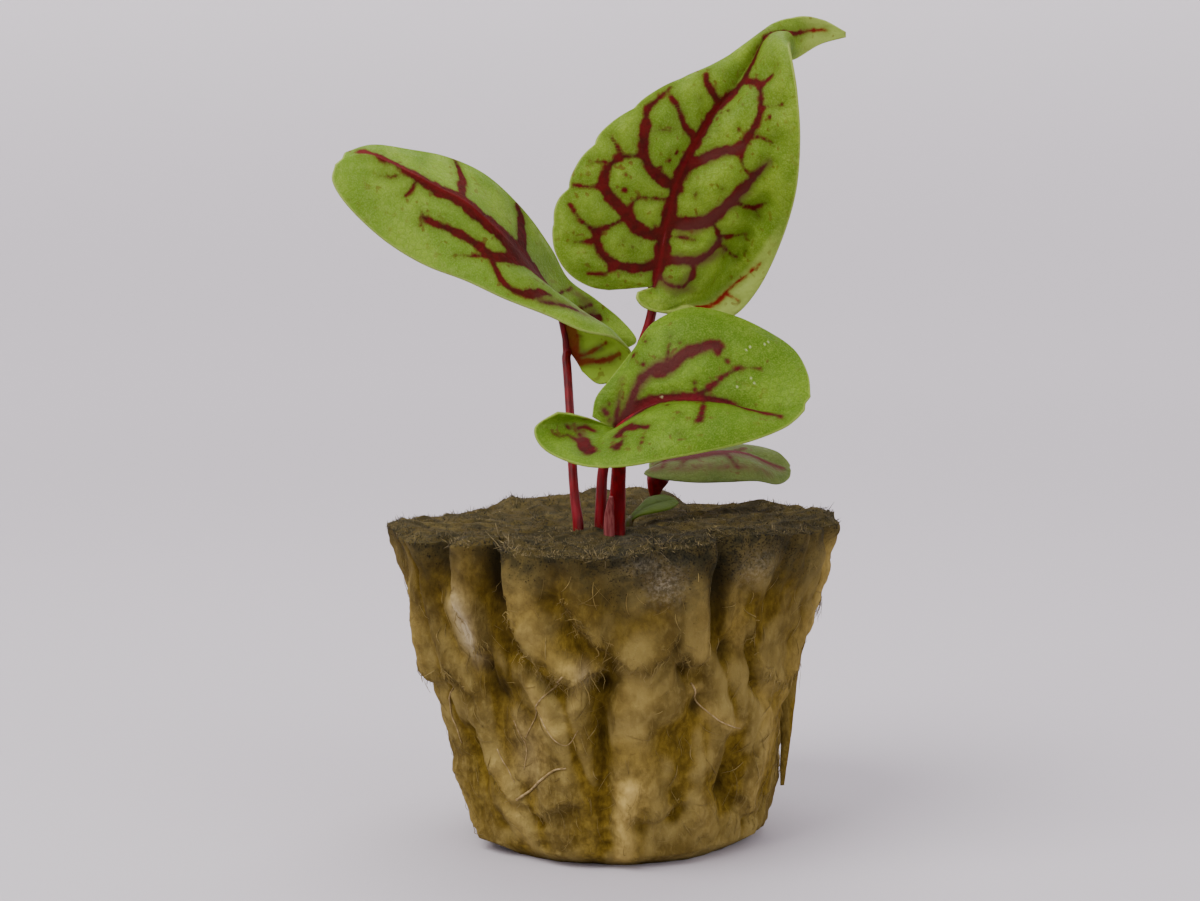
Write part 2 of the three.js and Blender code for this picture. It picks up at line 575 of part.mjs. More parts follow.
// The papery sheath is a thin pointed scale in front of the middle stalks
const SHEATH = [
  { mid: [-0.6, -7.6, 32.5], left: [-1.1, -7.6, 32.5], right: [-0.1, -7.6, 32.5], belly: [0, 0] },
  { mid: [-0.6, -7.6, 35.5], left: [-1.2, -7.5, 35.5], right: [0, -7.6, 35.5], belly: [0, 0] },
  { mid: [-0.5, -7.8, 37.4], left: [-1.1, -7.5, 37.4], right: [0, -8, 37.4], belly: [0, 0] },
  { mid: [-0.4, -8.2, 38.8], left: [-0.8, -8, 38.8], right: [0, -8.4, 38.8], belly: [0, 0] },
  { mid: [-0.3, -8.6, 39.8], left: [-0.5, -8.5, 39.8], right: [-0.1, -8.7, 39.8], belly: [0, 0] },
];

const SLOT_WIDTH = 1.8;

function sheathSlot() {
  const [x, y, z] = SHEATH[0].mid;
  const slot = new THREE.BoxGeometry(SLOT_WIDTH, BLADE_THICKNESS + 2 * FIT_GAP, HOLE_LENGTH);
  slot.translate(x, y, z - FIT_GAP + HOLE_LENGTH / 2);
  return toSolid(slot);
}

function plugSolid() {
  let plug = toSolid(plugGeometry()).add(toSolid(stemGeometry(STRAND, STALK_SIDES, STRAND_STEPS)));
  for (const stalk of [TALL_STALK, LEFT_STALK, FRONT_STALK, SMALL_STALK, SEED_STALK]) {
    plug = plug.subtract(footHole(stalk));
  }
  return toGeometry(plug.subtract(sheathSlot()));
}

// The plant in its plug
const sorrel = new THREE.Group();

function addPiece(name, geometry, colour, roughness) {
  const piece = new THREE.Mesh(geometry, material(colour, roughness));
  piece.name = name;
  sorrel.add(piece);
}

addPiece("stone_wool_plug", plugSolid(), WOOL_OLIVE, 0.95);

addPiece("tall_leaf_blade", bladeGeometry(TALL_BLADE, 30, 7), LEAF_GREEN, 0.45);
addPiece("tall_leaf_stalk", rootedStalk(TALL_STALK), STALK_RED, 0.4);

addPiece("left_leaf_blade", bladeGeometry(LEFT_BLADE, 26, 6), LEAF_GREEN, 0.45);
addPiece("left_leaf_stalk", rootedStalk(LEFT_STALK), STALK_RED, 0.4);

addPiece("front_leaf_blade", bladeGeometry(FRONT_BLADE, 24, 6), LEAF_GREEN, 0.45);
addPiece("front_leaf_stalk", rootedStalk(FRONT_STALK), STALK_RED, 0.4);

addPiece("small_leaf_blade", bladeGeometry(SMALL_BLADE, 14, 4), YOUNG_GREEN, 0.5);
addPiece("small_leaf_stalk", rootedStalk(SMALL_STALK), STALK_RED, 0.4);

addPiece("seed_leaf_blade", bladeGeometry(SEED_LEAF, 8, 3), SEED_GREEN, 0.5);
addPiece("seed_leaf_stalk", rootedStalk(SEED_STALK), STALK_RED, 0.5);

addPiece("papery_sheath", bladeGeometry(SHEATH, 8, 2), SHEATH_PINK, 0.6);

export default sorrel;
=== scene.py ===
"""A young red-veined sorrel in a tapered plug of stone wool, dressed over its CAD frame.

Every size is in millimetres in the CAD frame: the plug's underside lies at Z 0, the best leaves
look towards -Y, and +X is to the right of somebody who faces them. Directions round the plug are
turns in degrees, 0 at the front and 90 at the right. A mesh becomes metres when it is made.
"""

import bpy
import numpy as np
from mathutils import Matrix, Vector


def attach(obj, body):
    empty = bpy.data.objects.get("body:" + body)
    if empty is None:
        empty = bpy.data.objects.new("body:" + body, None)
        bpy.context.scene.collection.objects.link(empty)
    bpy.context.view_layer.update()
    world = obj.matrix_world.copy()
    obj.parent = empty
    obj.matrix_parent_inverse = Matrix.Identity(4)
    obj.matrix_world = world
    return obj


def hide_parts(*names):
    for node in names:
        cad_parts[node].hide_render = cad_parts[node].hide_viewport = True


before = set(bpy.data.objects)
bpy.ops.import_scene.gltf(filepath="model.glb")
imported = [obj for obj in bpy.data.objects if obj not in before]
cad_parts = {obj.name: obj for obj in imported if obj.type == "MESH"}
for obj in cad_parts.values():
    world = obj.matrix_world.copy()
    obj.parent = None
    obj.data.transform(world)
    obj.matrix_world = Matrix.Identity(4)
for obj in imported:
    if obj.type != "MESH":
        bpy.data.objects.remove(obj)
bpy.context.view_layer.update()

# The plug: stone wool blown as fine mineral fibre, pressed and cut to a tapered block. It has
# stood wet for weeks, so its sides are torn into flaps and lumps and its top is dark with algae.

MM = 0.001
PLUG_HEIGHT = 36.3
PLUG_TOP_RADIUS = 25
PLUG_FOOT_RADIUS = 16
PLUG_BOTTOM_RADIUS = 14.4
PLUG_EDGE_ROUND = 1.4
TAPER_BEND = 0.96  # 1 for straight sides, less where they bulge
CROWN_DIP = 0.9
RIM_EDGE = 0.5
FLAP_END = 2.5
FULL_TURN = 360

# Rim level against PLUG_HEIGHT: turn, level
RIM_LEVEL = [
    (-180, 0.1), (-150, 0), (-142, -1.1), (-120, -0.9), (-90, 0.1), (-60, -0.3), (-34, 0.6),
    (-20, -0.2), (-3, -0.4), (10, 0.5), (34, 0.9), (60, 0.2), (90, 0.2), (118, -0.9),
    (156, -1.5), (164, 0), (180, 0.1),
]

# Dents (depth above 0) and swellings: turn, height, half turn, half height, depth
HOLLOWS = [
    (-52, 35.2, 6, 3.6, 3.6), (-32.6, 34.6, 2.8, 4, 4), (-44, 26, 6, 3.4, 0.9),
    (-31, 15.5, 13, 5.6, 1.3), (-3, 21.3, 3.4, 1.4, 1.3), (-5.5, 15.6, 2.6, 5, 1.2),
    (18.3, 23, 3, 1.7, 1.5), (24.5, 18.6, 3, 1.8, 1.5), (28, 31.5, 2.2, 6, 1.7),
    (35, 31, 2, 6, 1), (33, 24, 4, 1.3, 1.6), (46, 30, 3, 4, 1.1), (39, 10.5, 2.8, 3.4, 1.4),
    (84, 17, 13, 6, 1.6), (-88, 20.6, 9, 2, 0.9), (-88, 11, 9, 1.7, 1.1), (-60, 12, 4, 5, 1.1),
    (110, 24, 6, 5, 1.6), (150, 15, 5, 4, 1.4), (176, 30, 3, 5, 1.6), (-110, 20, 5, 6, 1.5),
    (-155, 27, 6, 3, 1.6), (1.5, 5.5, 3.4, 4.5, -0.8), (-88, 7.6, 12, 2, -0.5),
    (12, 27, 8, 5, -0.6),
]

# Flaps of torn wool: top, lift, and the lower edge as (turn, height) points from left to right
FLAPS = [
    (38, 1.7, [(-31, 37), (-28.6, 29), (-25.6, 24.4), (-20, 22.2), (-12, 21.6), (-2, 24)]),
    (35, 1.1, [(-15, 32), (-10.2, 28), (-4.2, 25.4), (0, 23.7), (9, 22.7), (14, 25), (17, 29)]),
    (36, 0.7, [(15, 25), (20, 22.6), (27, 24.4)]),
    (33, 0.8, [(37, 27), (46, 20.5), (58, 18), (70, 22)]),
    (37, 1.1, [(-47, 31), (-43, 24), (-37, 25.5)]),
    (31, 0.8, [(-80, 24), (-70, 19.5), (-56, 21), (-47, 18.5)]),
    (17, 0.4, [(-52, 11), (-42, 7.5), (-27, 6), (-14, 8)]),
    (19, 0.5, [(-5, 10), (2, 6.5), (12, 5.5), (25, 8)]),
    (16, 0.6, [(42, 8), (55, 4.5), (70, 6)]),
    (33, 1.3, [(92, 26), (108, 20), (128, 18), (140, 23)]),
    (27, 1.2, [(156, 17), (172, 12.5), (196, 16)]),
    (35, 1.4, [(-142, 27), (-128, 23), (-104, 26)]),
    (19, 1.0, [(-158, 11), (-135, 7.5), (-112, 9.5)]),
]

# Folds of the hanging wool: half width, relief, tone (1 pale, -1 deep gold, -2 dark) and the way
# down the side as (turn, height) points. The tone is painted light and shade, mostly pale on
# raised folds and golden to dark in sunk ones
DRAPES = [
    (1.5, 0.5, 0.2, [(-41, 36.8), (-43, 33.4), (-45.5, 30)]),
    (2.2, 0.7, 0.3, [(-45.5, 30), (-46, 27.5), (-45, 25.5)]),
    (1.3, 0.5, 0.3, [(-72.5, 28.9), (-69, 25.2), (-72, 20.6)]),
    (1.2, -0.6, -0.8, [(-55.5, 29.9), (-54, 26.4), (-50, 23.5)]),
    (1.4, -0.8, -0.9, [(-34.5, 30.6), (-33.5, 27.7), (-31, 24.9)]),
    (1.2, -0.5, -0.7, [(-15.5, 30.9), (-12.5, 27.3), (-7, 25.1)]),
    (3, 0.6, 0.25, [(3.5, 20.8), (4, 15.1), (4, 9.3)]),
    (1.3, 0.6, 0.9, [(2, 9.3), (0.5, 5.8), (-0.5, 0.8)]),
    (1, -0.7, -0.8, [(-5, 21.5), (-6, 16.3), (-6, 10.5), (-5.5, 2.9)]),
    (2.6, 0.45, -0.4, [(-11, 20.8), (-11.5, 15.1), (-12, 8.2), (-12, 2.2)]),
    (0.8, 0.4, 0.45, [(23.5, 20), (29, 17.3), (39.5, 15.1)]),
    (1, -0.9, -1.7, [(28, 36.1), (28, 32.9)]),
    (0.8, -0.6, -1, [(28, 32.9), (26.5, 29.6), (27.5, 25.7)]),
    (1.2, -0.7, -1.1, [(53, 33.7), (52.5, 30.5)]),
    (0.8, -0.4, -1, [(39.5, 29.6), (42, 25.5)]),
    (1.6, -0.7, -1.2, [(16, 16), (19.5, 13), (22, 9.4)]),
    (1.2, -0.6, -1.1, [(47, 11.2), (40.5, 9), (42.5, 6)]),
    (0.9, -0.5, -1, [(19, 8.6), (20, 5.6)]),
    (1.6, 0.4, 0.35, [(52, 18.7), (57.5, 11.4), (53, 5.3)]),
    (2, -0.8, -1.4, [(-42, 22), (-37, 20.2)]),
    (1, 0.5, 0.3, [(-33, 18.7), (-34, 16), (-31.5, 14.1)]),
    (0.9, 0.5, 0.4, [(-25, 20.6), (-23, 17), (-17.5, 15.7), (-12, 19.1)]),
    (1.4, 0.5, 0.25, [(-77.5, 11.3), (-72, 6), (-65.5, 2.1)]),
    (1.2, -0.6, -0.9, [(-56.5, 13.9), (-55.5, 9.3), (-51, 4)]),
    (1.4, 0.4, 0.3, [(-44, 10.6), (-42.5, 6), (-37.5, 2.4)]),
    (1, -0.5, -0.8, [(-33.5, 8.7), (-30, 2.4)]),
    (1.4, 0.4, 0.15, [(-21.5, 19.5), (-26.5, 12.5), (-27, 7.8)]),
    (1.6, 0.5, 0.25, [(20.5, 31.5), (23.5, 28.1), (23.5, 24.8)]),
    (1.5, 0.45, 0.3, [(31.5, 34.4), (34, 29.9), (37, 25.2)]),
    (1.4, 0.4, 0.2, [(26, 14.4), (28, 8.6), (31.5, 3.7)]),
    (1.2, -0.6, -0.6, [(-27.5, 24.8), (-21, 22.7), (-16.5, 20.8)]),
    (1, 0.4, 0.6, [(-12, 23.3), (-10.5, 21.5), (-12, 19.7)]),
    (2.4, 0.2, 0.3, [(-26, 31), (-24, 27), (-20, 24)]),
]
# The sides and the back, out of the photo's sight, get folds of the same kind at random, their
# painted tone pale where they stand out and golden where they sink in
BACK_TURNS = range(68, 284, 6)
draw = np.random.default_rng(5)
for start_turn in BACK_TURNS:
    start_turn, sway = start_turn + draw.normal(0, 2), draw.normal(0, 3)
    top_end, length = draw.uniform(16, 35), draw.uniform(6, 14)
    low_end = max(top_end - length, 2)
    side = 1 if draw.uniform() < 0.5 else -1
    DRAPES.append((draw.uniform(0.9, 1.8), 0.55 * side, side * draw.uniform(0.15, 0.6), [
        (start_turn, top_end), (start_turn + sway, (top_end + low_end) / 2),
        (start_turn + 0.5 * sway, low_end),
    ]))


def soft_noise(points, size, seed=0):
    """Smooth lumps from -1 to 1, about as wide as size, at points (..., 3)"""
    place = np.asarray(points, float) / size
    cell = np.floor(place).astype(np.int64)
    part = place - cell
    ease = part * part * (3 - 2 * part)
    total = np.zeros(place.shape[:-1])
    for corner in np.ndindex(2, 2, 2):
        step = np.array(corner)
        key = ((cell + step) * (73856093, 19349663, 83492791)).sum(-1) + seed * 97531
        key = (key ^ (key >> 11)) * 1274126177 & 0x7FFFFFFF
        key = (key ^ (key >> 9)) * 362437 & 0x7FFFFFFF
        lump = ((key >> 8) & 0xFFFF) / 32767.5 - 1
        total += lump * np.prod(np.where(step == 1, ease, 1 - ease), axis=-1)
    return total


def smooth_step(start, end, value):
    share = np.clip((value - start) / (end - start), 0, 1)
    return share * share * (3 - 2 * share)


def turn_between(start, end):
    """Shortest signed difference between two turns"""
    return (end - start + 180) % FULL_TURN - 180


def on_cone(turn, radius, height):
    angle = np.radians(turn)
    return np.stack([radius * np.sin(angle), -radius * np.cos(angle), height + 0 * angle], -1)


def rim_level(turn):
    turns, levels = np.array(RIM_LEVEL).T
    around = turn_between(0, turn)
    before = np.clip(np.searchsorted(turns, around, "right") - 1, 0, len(turns) - 2)
    share = smooth_step(turns[before], turns[before + 1], around)
    return levels[before] * (1 - share) + levels[before + 1] * share


def lumps(turn, height):
    a = np.radians(turn)
    broad = 0.28 * np.sin(3 * a + 0.21 * height + 0.6) * np.cos(2 * a - 0.17 * height)
    middle = 0.2 * np.sin(9 * a + 0.5 * height) * np.cos(4 * a - 0.62 * height + 1.1)
    fine = 0.12 * np.sin(21 * a - 0.8 * height) * np.sin(11 * a + 1.3 * height)
    return broad + middle + fine


def taper(height):
    share = np.clip(height / PLUG_HEIGHT, 0, 1.1) ** TAPER_BEND
    return PLUG_FOOT_RADIUS + (PLUG_TOP_RADIUS - PLUG_FOOT_RADIUS) * share


FRAY = 0.7  # how far the lower edge of a flap is frayed up and down
FRAY_SIZE = 1.5
FLAP_SOFTNESS = 0.55
UNDERCUT = 0.65  # depth of the shadow gap under a flap
UNDERCUT_REACH = 0.9
UNDERCUT_DROP = 1.4  # how far below the edge the gap is deepest, in reaches


def flap_edge(flap, turn, height):
    """Level of a flap's lower edge, and how much of the flap there is at its ends"""
    turns, heights = np.array(flap[2], float).T
    along = turn_between(turns[0], turn)
    width = turns[-1] - turns[0]
    here = on_cone(turn, taper(height), height)
    frayed = FRAY * soft_noise(here, FRAY_SIZE, seed=3)
    low = np.interp(along, turns - turns[0], heights) + frayed
    ends = smooth_step(0, FLAP_END, along) * smooth_step(0, FLAP_END, width - along)
    return low, np.where((along > 0) & (along < width), ends, 0)


def flap_lift(flap, turn, height):
    top, lift, _ = flap
    low, ends = flap_edge(flap, turn, height)
    raised = lift * np.clip((top - height) / (top - low), 0, 1)
    raised = raised * smooth_step(-FLAP_SOFTNESS, 0.5 * FLAP_SOFTNESS, height - low)
    gap = UNDERCUT * np.exp(-(((height - low) / UNDERCUT_REACH + UNDERCUT_DROP) ** 2))
    return ends * (raised - gap)


def patch(turn, height, where, level, half_turn, half_height):
    """1 in the middle of a soft place on the side and 0 well away from it"""
    sideways = turn_between(where, turn) / half_turn
    upwards = (height - level) / half_height
    return np.exp(-(sideways**2) - upwards**2)


def broad_radius(turn, height):
    """The plug's side with its dents and flaps, before the grain of the fibre"""
    radius = taper(height) + lumps(turn, height)
    for *place, depth in HOLLOWS:
        radius = radius - depth * patch(turn, height, *place)
    for flap in FLAPS:
        radius = radius + flap_lift(flap, turn, height)
    return radius


BROAD_FOLD = 3.6
NARROW_FOLD = 1.7
FOLD_SWAY = 8  # turn by which the folds lean to and fro, and how wide one sway is


def wool_folds(turn, height):
    """Long rounded folds that hang down the side, with sharp grooves between them, -1 to 1"""
    here = on_cone(turn, taper(height), height)
    lean = FOLD_SWAY * soft_noise(here, FOLD_SWAY, seed=11)
    leaning = on_cone(turn + lean, taper(height), height)
    wide = np.abs(soft_noise(leaning * (1, 1, 0.2), BROAD_FOLD, seed=21))
    narrow = np.abs(soft_noise(leaning * (1, 1, 0.3), NARROW_FOLD, seed=31))
    return 2.4 * wide + 0.9 * narrow - 0.95


def smooth_line(points, steps):
    """A smooth curve through the points; steps counts in points, 0 at the first"""
    points = np.asarray(points, float)
    last = len(points) - 1
    before = np.clip(np.floor(steps).astype(int), 0, last - 1)
    part = (steps - before)[..., None]
    start, end = points[before], points[before + 1]
    first = np.where((before > 0)[..., None], points[before - 1], 2 * start - end)
    final = points[np.minimum(before + 2, last)]
    final = np.where((before < last - 1)[..., None], final, 2 * end - start)
    square, cube = part**2, part**3
    return 0.5 * (2 * start + (end - first) * part
                  + (2 * first - 5 * start + 4 * end - final) * square
                  + (3 * start - first - 3 * end + final) * cube)


def steps_along(points, between):
    """Steps for smooth_line, so many of them from each point to the next"""
    last = len(points) - 1
    return np.linspace(0, last, between * last + 1)


def drapes(turn, height):
    """Relief, and the tone of painted light and shade, that the folds from the table give to
    places on the side
    """
    here = on_cone(turn, taper(height), height)
    ragged = 0.4 * soft_noise(here, 1.3, seed=16)
    relief, tone = np.zeros(np.shape(turn)), np.zeros(np.shape(turn))
    for half_width, depth, shade, route in DRAPES:
        turns, heights = smooth_line(route, steps_along(route, 6)).T
        spots = on_cone(turns, taper(heights), heights)
        apart = np.sqrt(((here[..., None, :] - spots) ** 2).sum(-1)).min(-1) / half_width
        share = np.exp(-(np.maximum(apart + ragged, 0) ** 2))
        relief, tone = relief + depth * share, tone + shade * share
    return relief, tone


FOLD_RELIEF = 0.42
TUFT_RELIEF = 0.24
FELT_RELIEF = 0.085


def wool_grain(turn, height):
    """Relief of the matted wool: its folds, with soft tufts and lint on them"""
    here = on_cone(turn, taper(height), height)
    tufts = soft_noise(here * (1, 1, 0.6), 3.0, seed=41)
    felt = soft_noise(here, 0.9, seed=51) + 0.6 * soft_noise(here, 0.45, seed=52)
    folds = FOLD_RELIEF * wool_folds(turn, height)
    return folds + TUFT_RELIEF * tufts + FELT_RELIEF * felt + drapes(turn, height)[0]


def side_radius(turn, height):
    """The finished side, a little calmer at the foot where it has been pressed"""
    calm = smooth_step(0, 2.5, height)
    return broad_radius(turn, height) + wool_grain(turn, height) * (0.75 + 0.25 * calm)


CLOD_RELIEF = 0.42
CRUMB_RELIEF = 0.3


def crown_height(turn, share):
    """Level of the top at a share of the radius, 1 at the rim and 0 in the middle"""
    a = np.radians(turn)
    waves = 0.25 * np.sin(5 * a + 7 * share) * np.sin(3 * a - 9 * share)
    rim = rim_level(turn) * smooth_step(0.35, 1, share)
    dip = CROWN_DIP * (1 - smooth_step(0.5, 1, share))
    return PLUG_HEIGHT + rim - dip + waves * share


def crown_point(turn, share):
    """A place on the top, with the clods and pits of the wool"""
    reach = side_radius(turn, crown_height(turn, 1) - RIM_EDGE)
    flat = on_cone(turn, reach * share, 0.0 * share)
    clods = CLOD_RELIEF * soft_noise(flat, 2.6, seed=61)
    clods += CRUMB_RELIEF * soft_noise(flat, 1.1, seed=62)
    inward = smooth_step(1, 0.93, share)
    flat[..., 2] = crown_height(turn, share) - RIM_EDGE * (1 - inward) + clods * inward
    return flat


def new_object(name, points, faces, material, marks=()):
    """A smooth mesh from places in millimetres, with its marks stored at its points"""
    mesh = bpy.data.meshes.new(name)
    mesh.from_pydata((np.asarray(points, float) * MM).tolist(), [], faces)
    mesh.validate()
    mesh.polygons.foreach_set("use_smooth", np.ones(len(mesh.polygons), bool))
    for mark, values in dict(marks).items():
        layer = mesh.attributes.new(mark, "FLOAT", "POINT")
        layer.data.foreach_set("value", np.asarray(values, np.float32).ravel())
    mesh.materials.append(material)
    made = bpy.data.objects.new(name, mesh)
    bpy.context.collection.objects.link(made)
    return made


def make_piece(name, points, faces, marks, material, slot_name, *replaced):
    """A piece of the part, in the place of the CAD nodes that it replaces"""
    piece = new_object(name, points, faces, material, marks)
    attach(piece, "root")
    if replaced:
        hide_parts(*replaced)


def ring_quads(rows, count):
    """Quads that join rows of points, each row a closed ring of count points"""
    ring = np.arange(count)
    after = np.roll(ring, -1)
    quads = np.stack([ring, after, after + count, ring + count], -1)
    return (quads + count * np.arange(rows - 1)[:, None, None]).reshape(-1, 4)


def colour(red, green, blue):
    """A colour given as it looks on a screen, 0 to 255"""
    screen = np.array([red, green, blue]) / 255
    linear = np.where(screen <= 0.04045, screen / 12.92, ((screen + 0.055) / 1.055) ** 2.4)
    return (*linear.tolist(), 1)


class Finish:
    """A procedural material, built up node by node"""

    def __init__(self, name):
        self.material = bpy.data.materials.new(name)
        self.material.use_nodes = True
        self.tree = self.material.node_tree
        self.tree.nodes.clear()
        self.place = self.add("TexCoord").outputs["Object"]

    def add(self, kind, inputs=(), **settings):
        node = self.tree.nodes.new("ShaderNode" + kind)
        for key, value in settings.items():
            setattr(node, key, value)
        for key, value in dict(inputs).items():
            if isinstance(value, bpy.types.NodeSocket):
                self.tree.links.new(value, node.inputs[key])
            else:
                node.inputs[key].default_value = value
        return node

    def marks(self, names):
        """The values that the mesh stores under these names"""
        return [self.add("Attribute", attribute_name=name).outputs["Fac"]
                for name in names.split()]

    def stretched(self, stretch):
        mapping = self.add("Mapping", {"Vector": self.place, "Scale": stretch})
        return mapping.outputs["Vector"]

    def noise(self, size, detail=2, stretch=(1, 1, 1), roughness=0.5, distortion=0):
        settings = {
            "Vector": self.stretched(stretch), "Scale": 1 / (size * MM), "Detail": detail,
            "Roughness": roughness, "Distortion": distortion,
        }
        return self.add("TexNoise", settings).outputs["Fac"]

    def cells(self, size):
        """Distance to the walls of a net of cells"""
        settings = {"Vector": self.stretched((1, 1, 1)), "Scale": 1 / (size * MM)}
        return self.add("TexVoronoi", settings, feature="DISTANCE_TO_EDGE").outputs["Distance"]

    def math(self, operation, first, second):
        return self.add("Math", {0: first, 1: second}, operation=operation).outputs[0]

    def plus(self, first, second):
        return self.math("ADD", first, second)

    def times(self, first, second):
        return self.math("MULTIPLY", first, second)

    def step(self, value, start, end, low=0.0, high=1.0):
        ranges = {"Value": value, 1: start, 2: end, 3: low, 4: high}
        return self.add("MapRange", ranges, interpolation_type="SMOOTHSTEP").outputs["Result"]

    def mix(self, share, first, second, blend="MIX"):
        colours = {0: share, 6: first, 7: second}
        return self.add("Mix", colours, data_type="RGBA", blend_type=blend).outputs[2]

    def layers(self, paint, coats):
        """The paint under its coats, each given as how much of it shows and its colour"""
        for share, coat in coats:
            paint = self.mix(share, paint, coat)
        return paint

    def finish(self, paint, inputs, relief=None, depth=0.0, glow=None, glow_share=0.0):
        """Closes the material; the glow is the colour of the light that it lets through"""
        inputs = {"Base Color": paint, **inputs}
        if relief is not None:
            bump = {"Height": relief, "Distance": depth * MM, "Strength": 1.0}
            inputs["Normal"] = self.add("Bump", bump).outputs["Normal"]
        shader = self.add("BsdfPrincipled", inputs).outputs[0]
        if glow is not None:
            through = self.add("BsdfTranslucent", {"Color": glow}).outputs[0]
            shader = self.add("MixShader", {0: glow_share, 1: shader, 2: through}).outputs[0]
        self.add("OutputMaterial", {"Surface": shader})
        return self.material


def wool_material():
    """Tan wool, dark with algae along the rim. Painted light makes its raised folds paler; painted
    shade makes its grooves and hollows golden, the deepest and the shade places near black, and
    its upper part darker
    """
    wool = Finish("matted_stone_wool")
    height, groove, hollow, algae, mould, straw, pale, gold, dim = wool.marks(
        "height groove hollow algae mould straw pale gold dim")
    clouds = wool.noise(4.5, 3, (1, 1, 0.6))
    felt = wool.noise(0.7, 4, (1, 1, 0.6), roughness=0.6)
    threads = wool.noise(0.16, 3, (1, 1, 0.35), distortion=1.0)
    tan = wool.mix(wool.step(clouds, 0.38, 0.62), colour(84, 69, 30), colour(122, 106, 57))
    tan = wool.mix(wool.step(felt, 0.45, 0.75, 0, 0.5), tan, colour(132, 117, 68))
    # Painted golden shade, where light comes through the wool into the grooves, the hollows and
    # the golden places
    golden_shade = wool.mix(wool.step(felt, 0.3, 0.7), colour(72, 55, 8), colour(104, 85, 24))
    depth = wool.plus(wool.step(groove, 0.4, -0.85, 0, 0.8), wool.step(hollow, 0.4, 2.4))
    depth = wool.step(wool.plus(depth, wool.times(gold, 0.9)), 0.0, 1.2, 0.04, 0.96)
    # Painted shade: the side darkens upwards from 15 mm to 31 mm
    upper = wool.step(height, 15, 31, 0, 0.42)
    shaded_base = wool.mix(upper, wool.mix(depth, tan, golden_shade), colour(142, 134, 118), "MULTIPLY")
    # Painted shade: near black in the deepest hollows, at the shade places and in the darkest
    # folds
    shadow = wool.plus(wool.step(hollow, 1.4, 3.4, 0, 0.75), dim)
    blotches = wool.step(wool.noise(1.5, 3, roughness=0.6), 0.44, 0.62, 0, 0.8)
    specks = wool.plus(wool.noise(0.22, 3), wool.times(algae, 0.2))
    salt = wool.step(wool.noise(0.4, 4, roughness=0.7), 0.42, 0.66, 0.12, 0.7)
    paint = wool.layers(shaded_base, [
        # painted light: paler raised folds
        (wool.times(straw, wool.step(felt, 0.2, 0.6, 0.5, 1.0)), colour(162, 140, 78)),
        (wool.times(pale, wool.step(felt, 0.2, 0.6, 0.45, 0.95)), colour(186, 172, 140)),
        (wool.math("MINIMUM", shadow, 0.93), colour(34, 24, 4)),
        (wool.times(algae, wool.step(felt, 0.2, 0.6, 0.6, 0.95)), colour(54, 48, 27)),
        (wool.times(algae, blotches), colour(29, 29, 19)),
        (wool.step(specks, 0.7, 0.8, 0, 0.85), colour(12, 12, 8)),
        (wool.times(salt, mould), colour(164, 154, 130)),
    ])
    relief = wool.plus(felt, wool.times(threads, 0.35))
    return wool.finish(paint, {"Roughness": 0.95, "Specular IOR Level": 0.08}, relief, depth=0.3)


# Paler places, golden and dark places of painted shade, and mouldy places: turn, height, half
# turn, half height, strength
PALE_PLACES = [
    (-45, 27, 3, 3, 1), (-33, 13, 6, 4, 0.15), (-9, 22.8, 2, 1.4, 0.2),
    (120, 12, 9, 6, 0.15), (-130, 18, 9, 6, 0.15), (170, 24, 8, 5, 0.15),
]
GOLD_PLACES = [
    (-60, 32, 8, 3, 1), (-74, 22, 10, 9, 0.7), (-62, 6, 14, 6, 0.7), (80, 24, 10, 12, 0.6),
    (70, 8, 10, 7, 0.6), (28, 27, 7, 4, 0.5), (-3, 20, 5, 3, 0.7),
    (42, 10, 5, 5, 0.7), (52, 32, 8, 4, 0.7), (-100, 18, 16, 12, 0.4), (140, 24, 16, 9, 0.35),
    (178, 9, 20, 7, 0.3), (-150, 10, 12, 7, 0.4),
]
# Painted shade: the notch, the furrows, the holes and the shadows under the rim
SHADE_PLACES = [
    (-33, 33.6, 2.4, 4.4, 1), (-53, 37, 8, 2, 0.8), (27.5, 35, 2.2, 3.2, 0.7),
    (46, 35.5, 4, 2, 0.6), (-2, 21.8, 2, 1.1, 0.3), (18.3, 23, 1.8, 1.6, 0.4),
    (30.5, 24, 2.6, 1.2, 0.4), (24.5, 18.8, 2, 1.4, 0.5), (-38, 21, 6, 1.8, 0.6),
    (110, 34, 6, 2.5, 0.6), (-120, 33, 7, 3, 0.6), (165, 33, 5, 3, 0.6),
    (-60, 32.5, 7, 2.6, 0.45), (-14, 34.4, 9, 1.2, 0.5), (2, 34.9, 7, 1, 0.45),
    (25, 33.4, 4, 2.6, 0.4), (-43, 34.6, 5, 2.2, 0.35),
]
MOULD_PLACES = [(12, 32.4, 4.4, 1.9, 0.55), (7, 34.5, 5, 1, 0.35), (38, 33, 5, 2, 0.3)]
STAIN_TURN = 16  # where the dark stain of the algae reaches furthest down
STAIN_HALF_TURN = 36
STAIN_DROP = 7.5
ALGAE_START, ALGAE_FULL = 32.5, 37.5  # heights between which the algae thicken


def places(table, turn, height):
    """Soft patches from a table, 0 to 1"""
    total = np.zeros(np.shape(turn))
    for *place, strength in table:
        total = np.maximum(total, strength * patch(turn, height, *place))
    return total


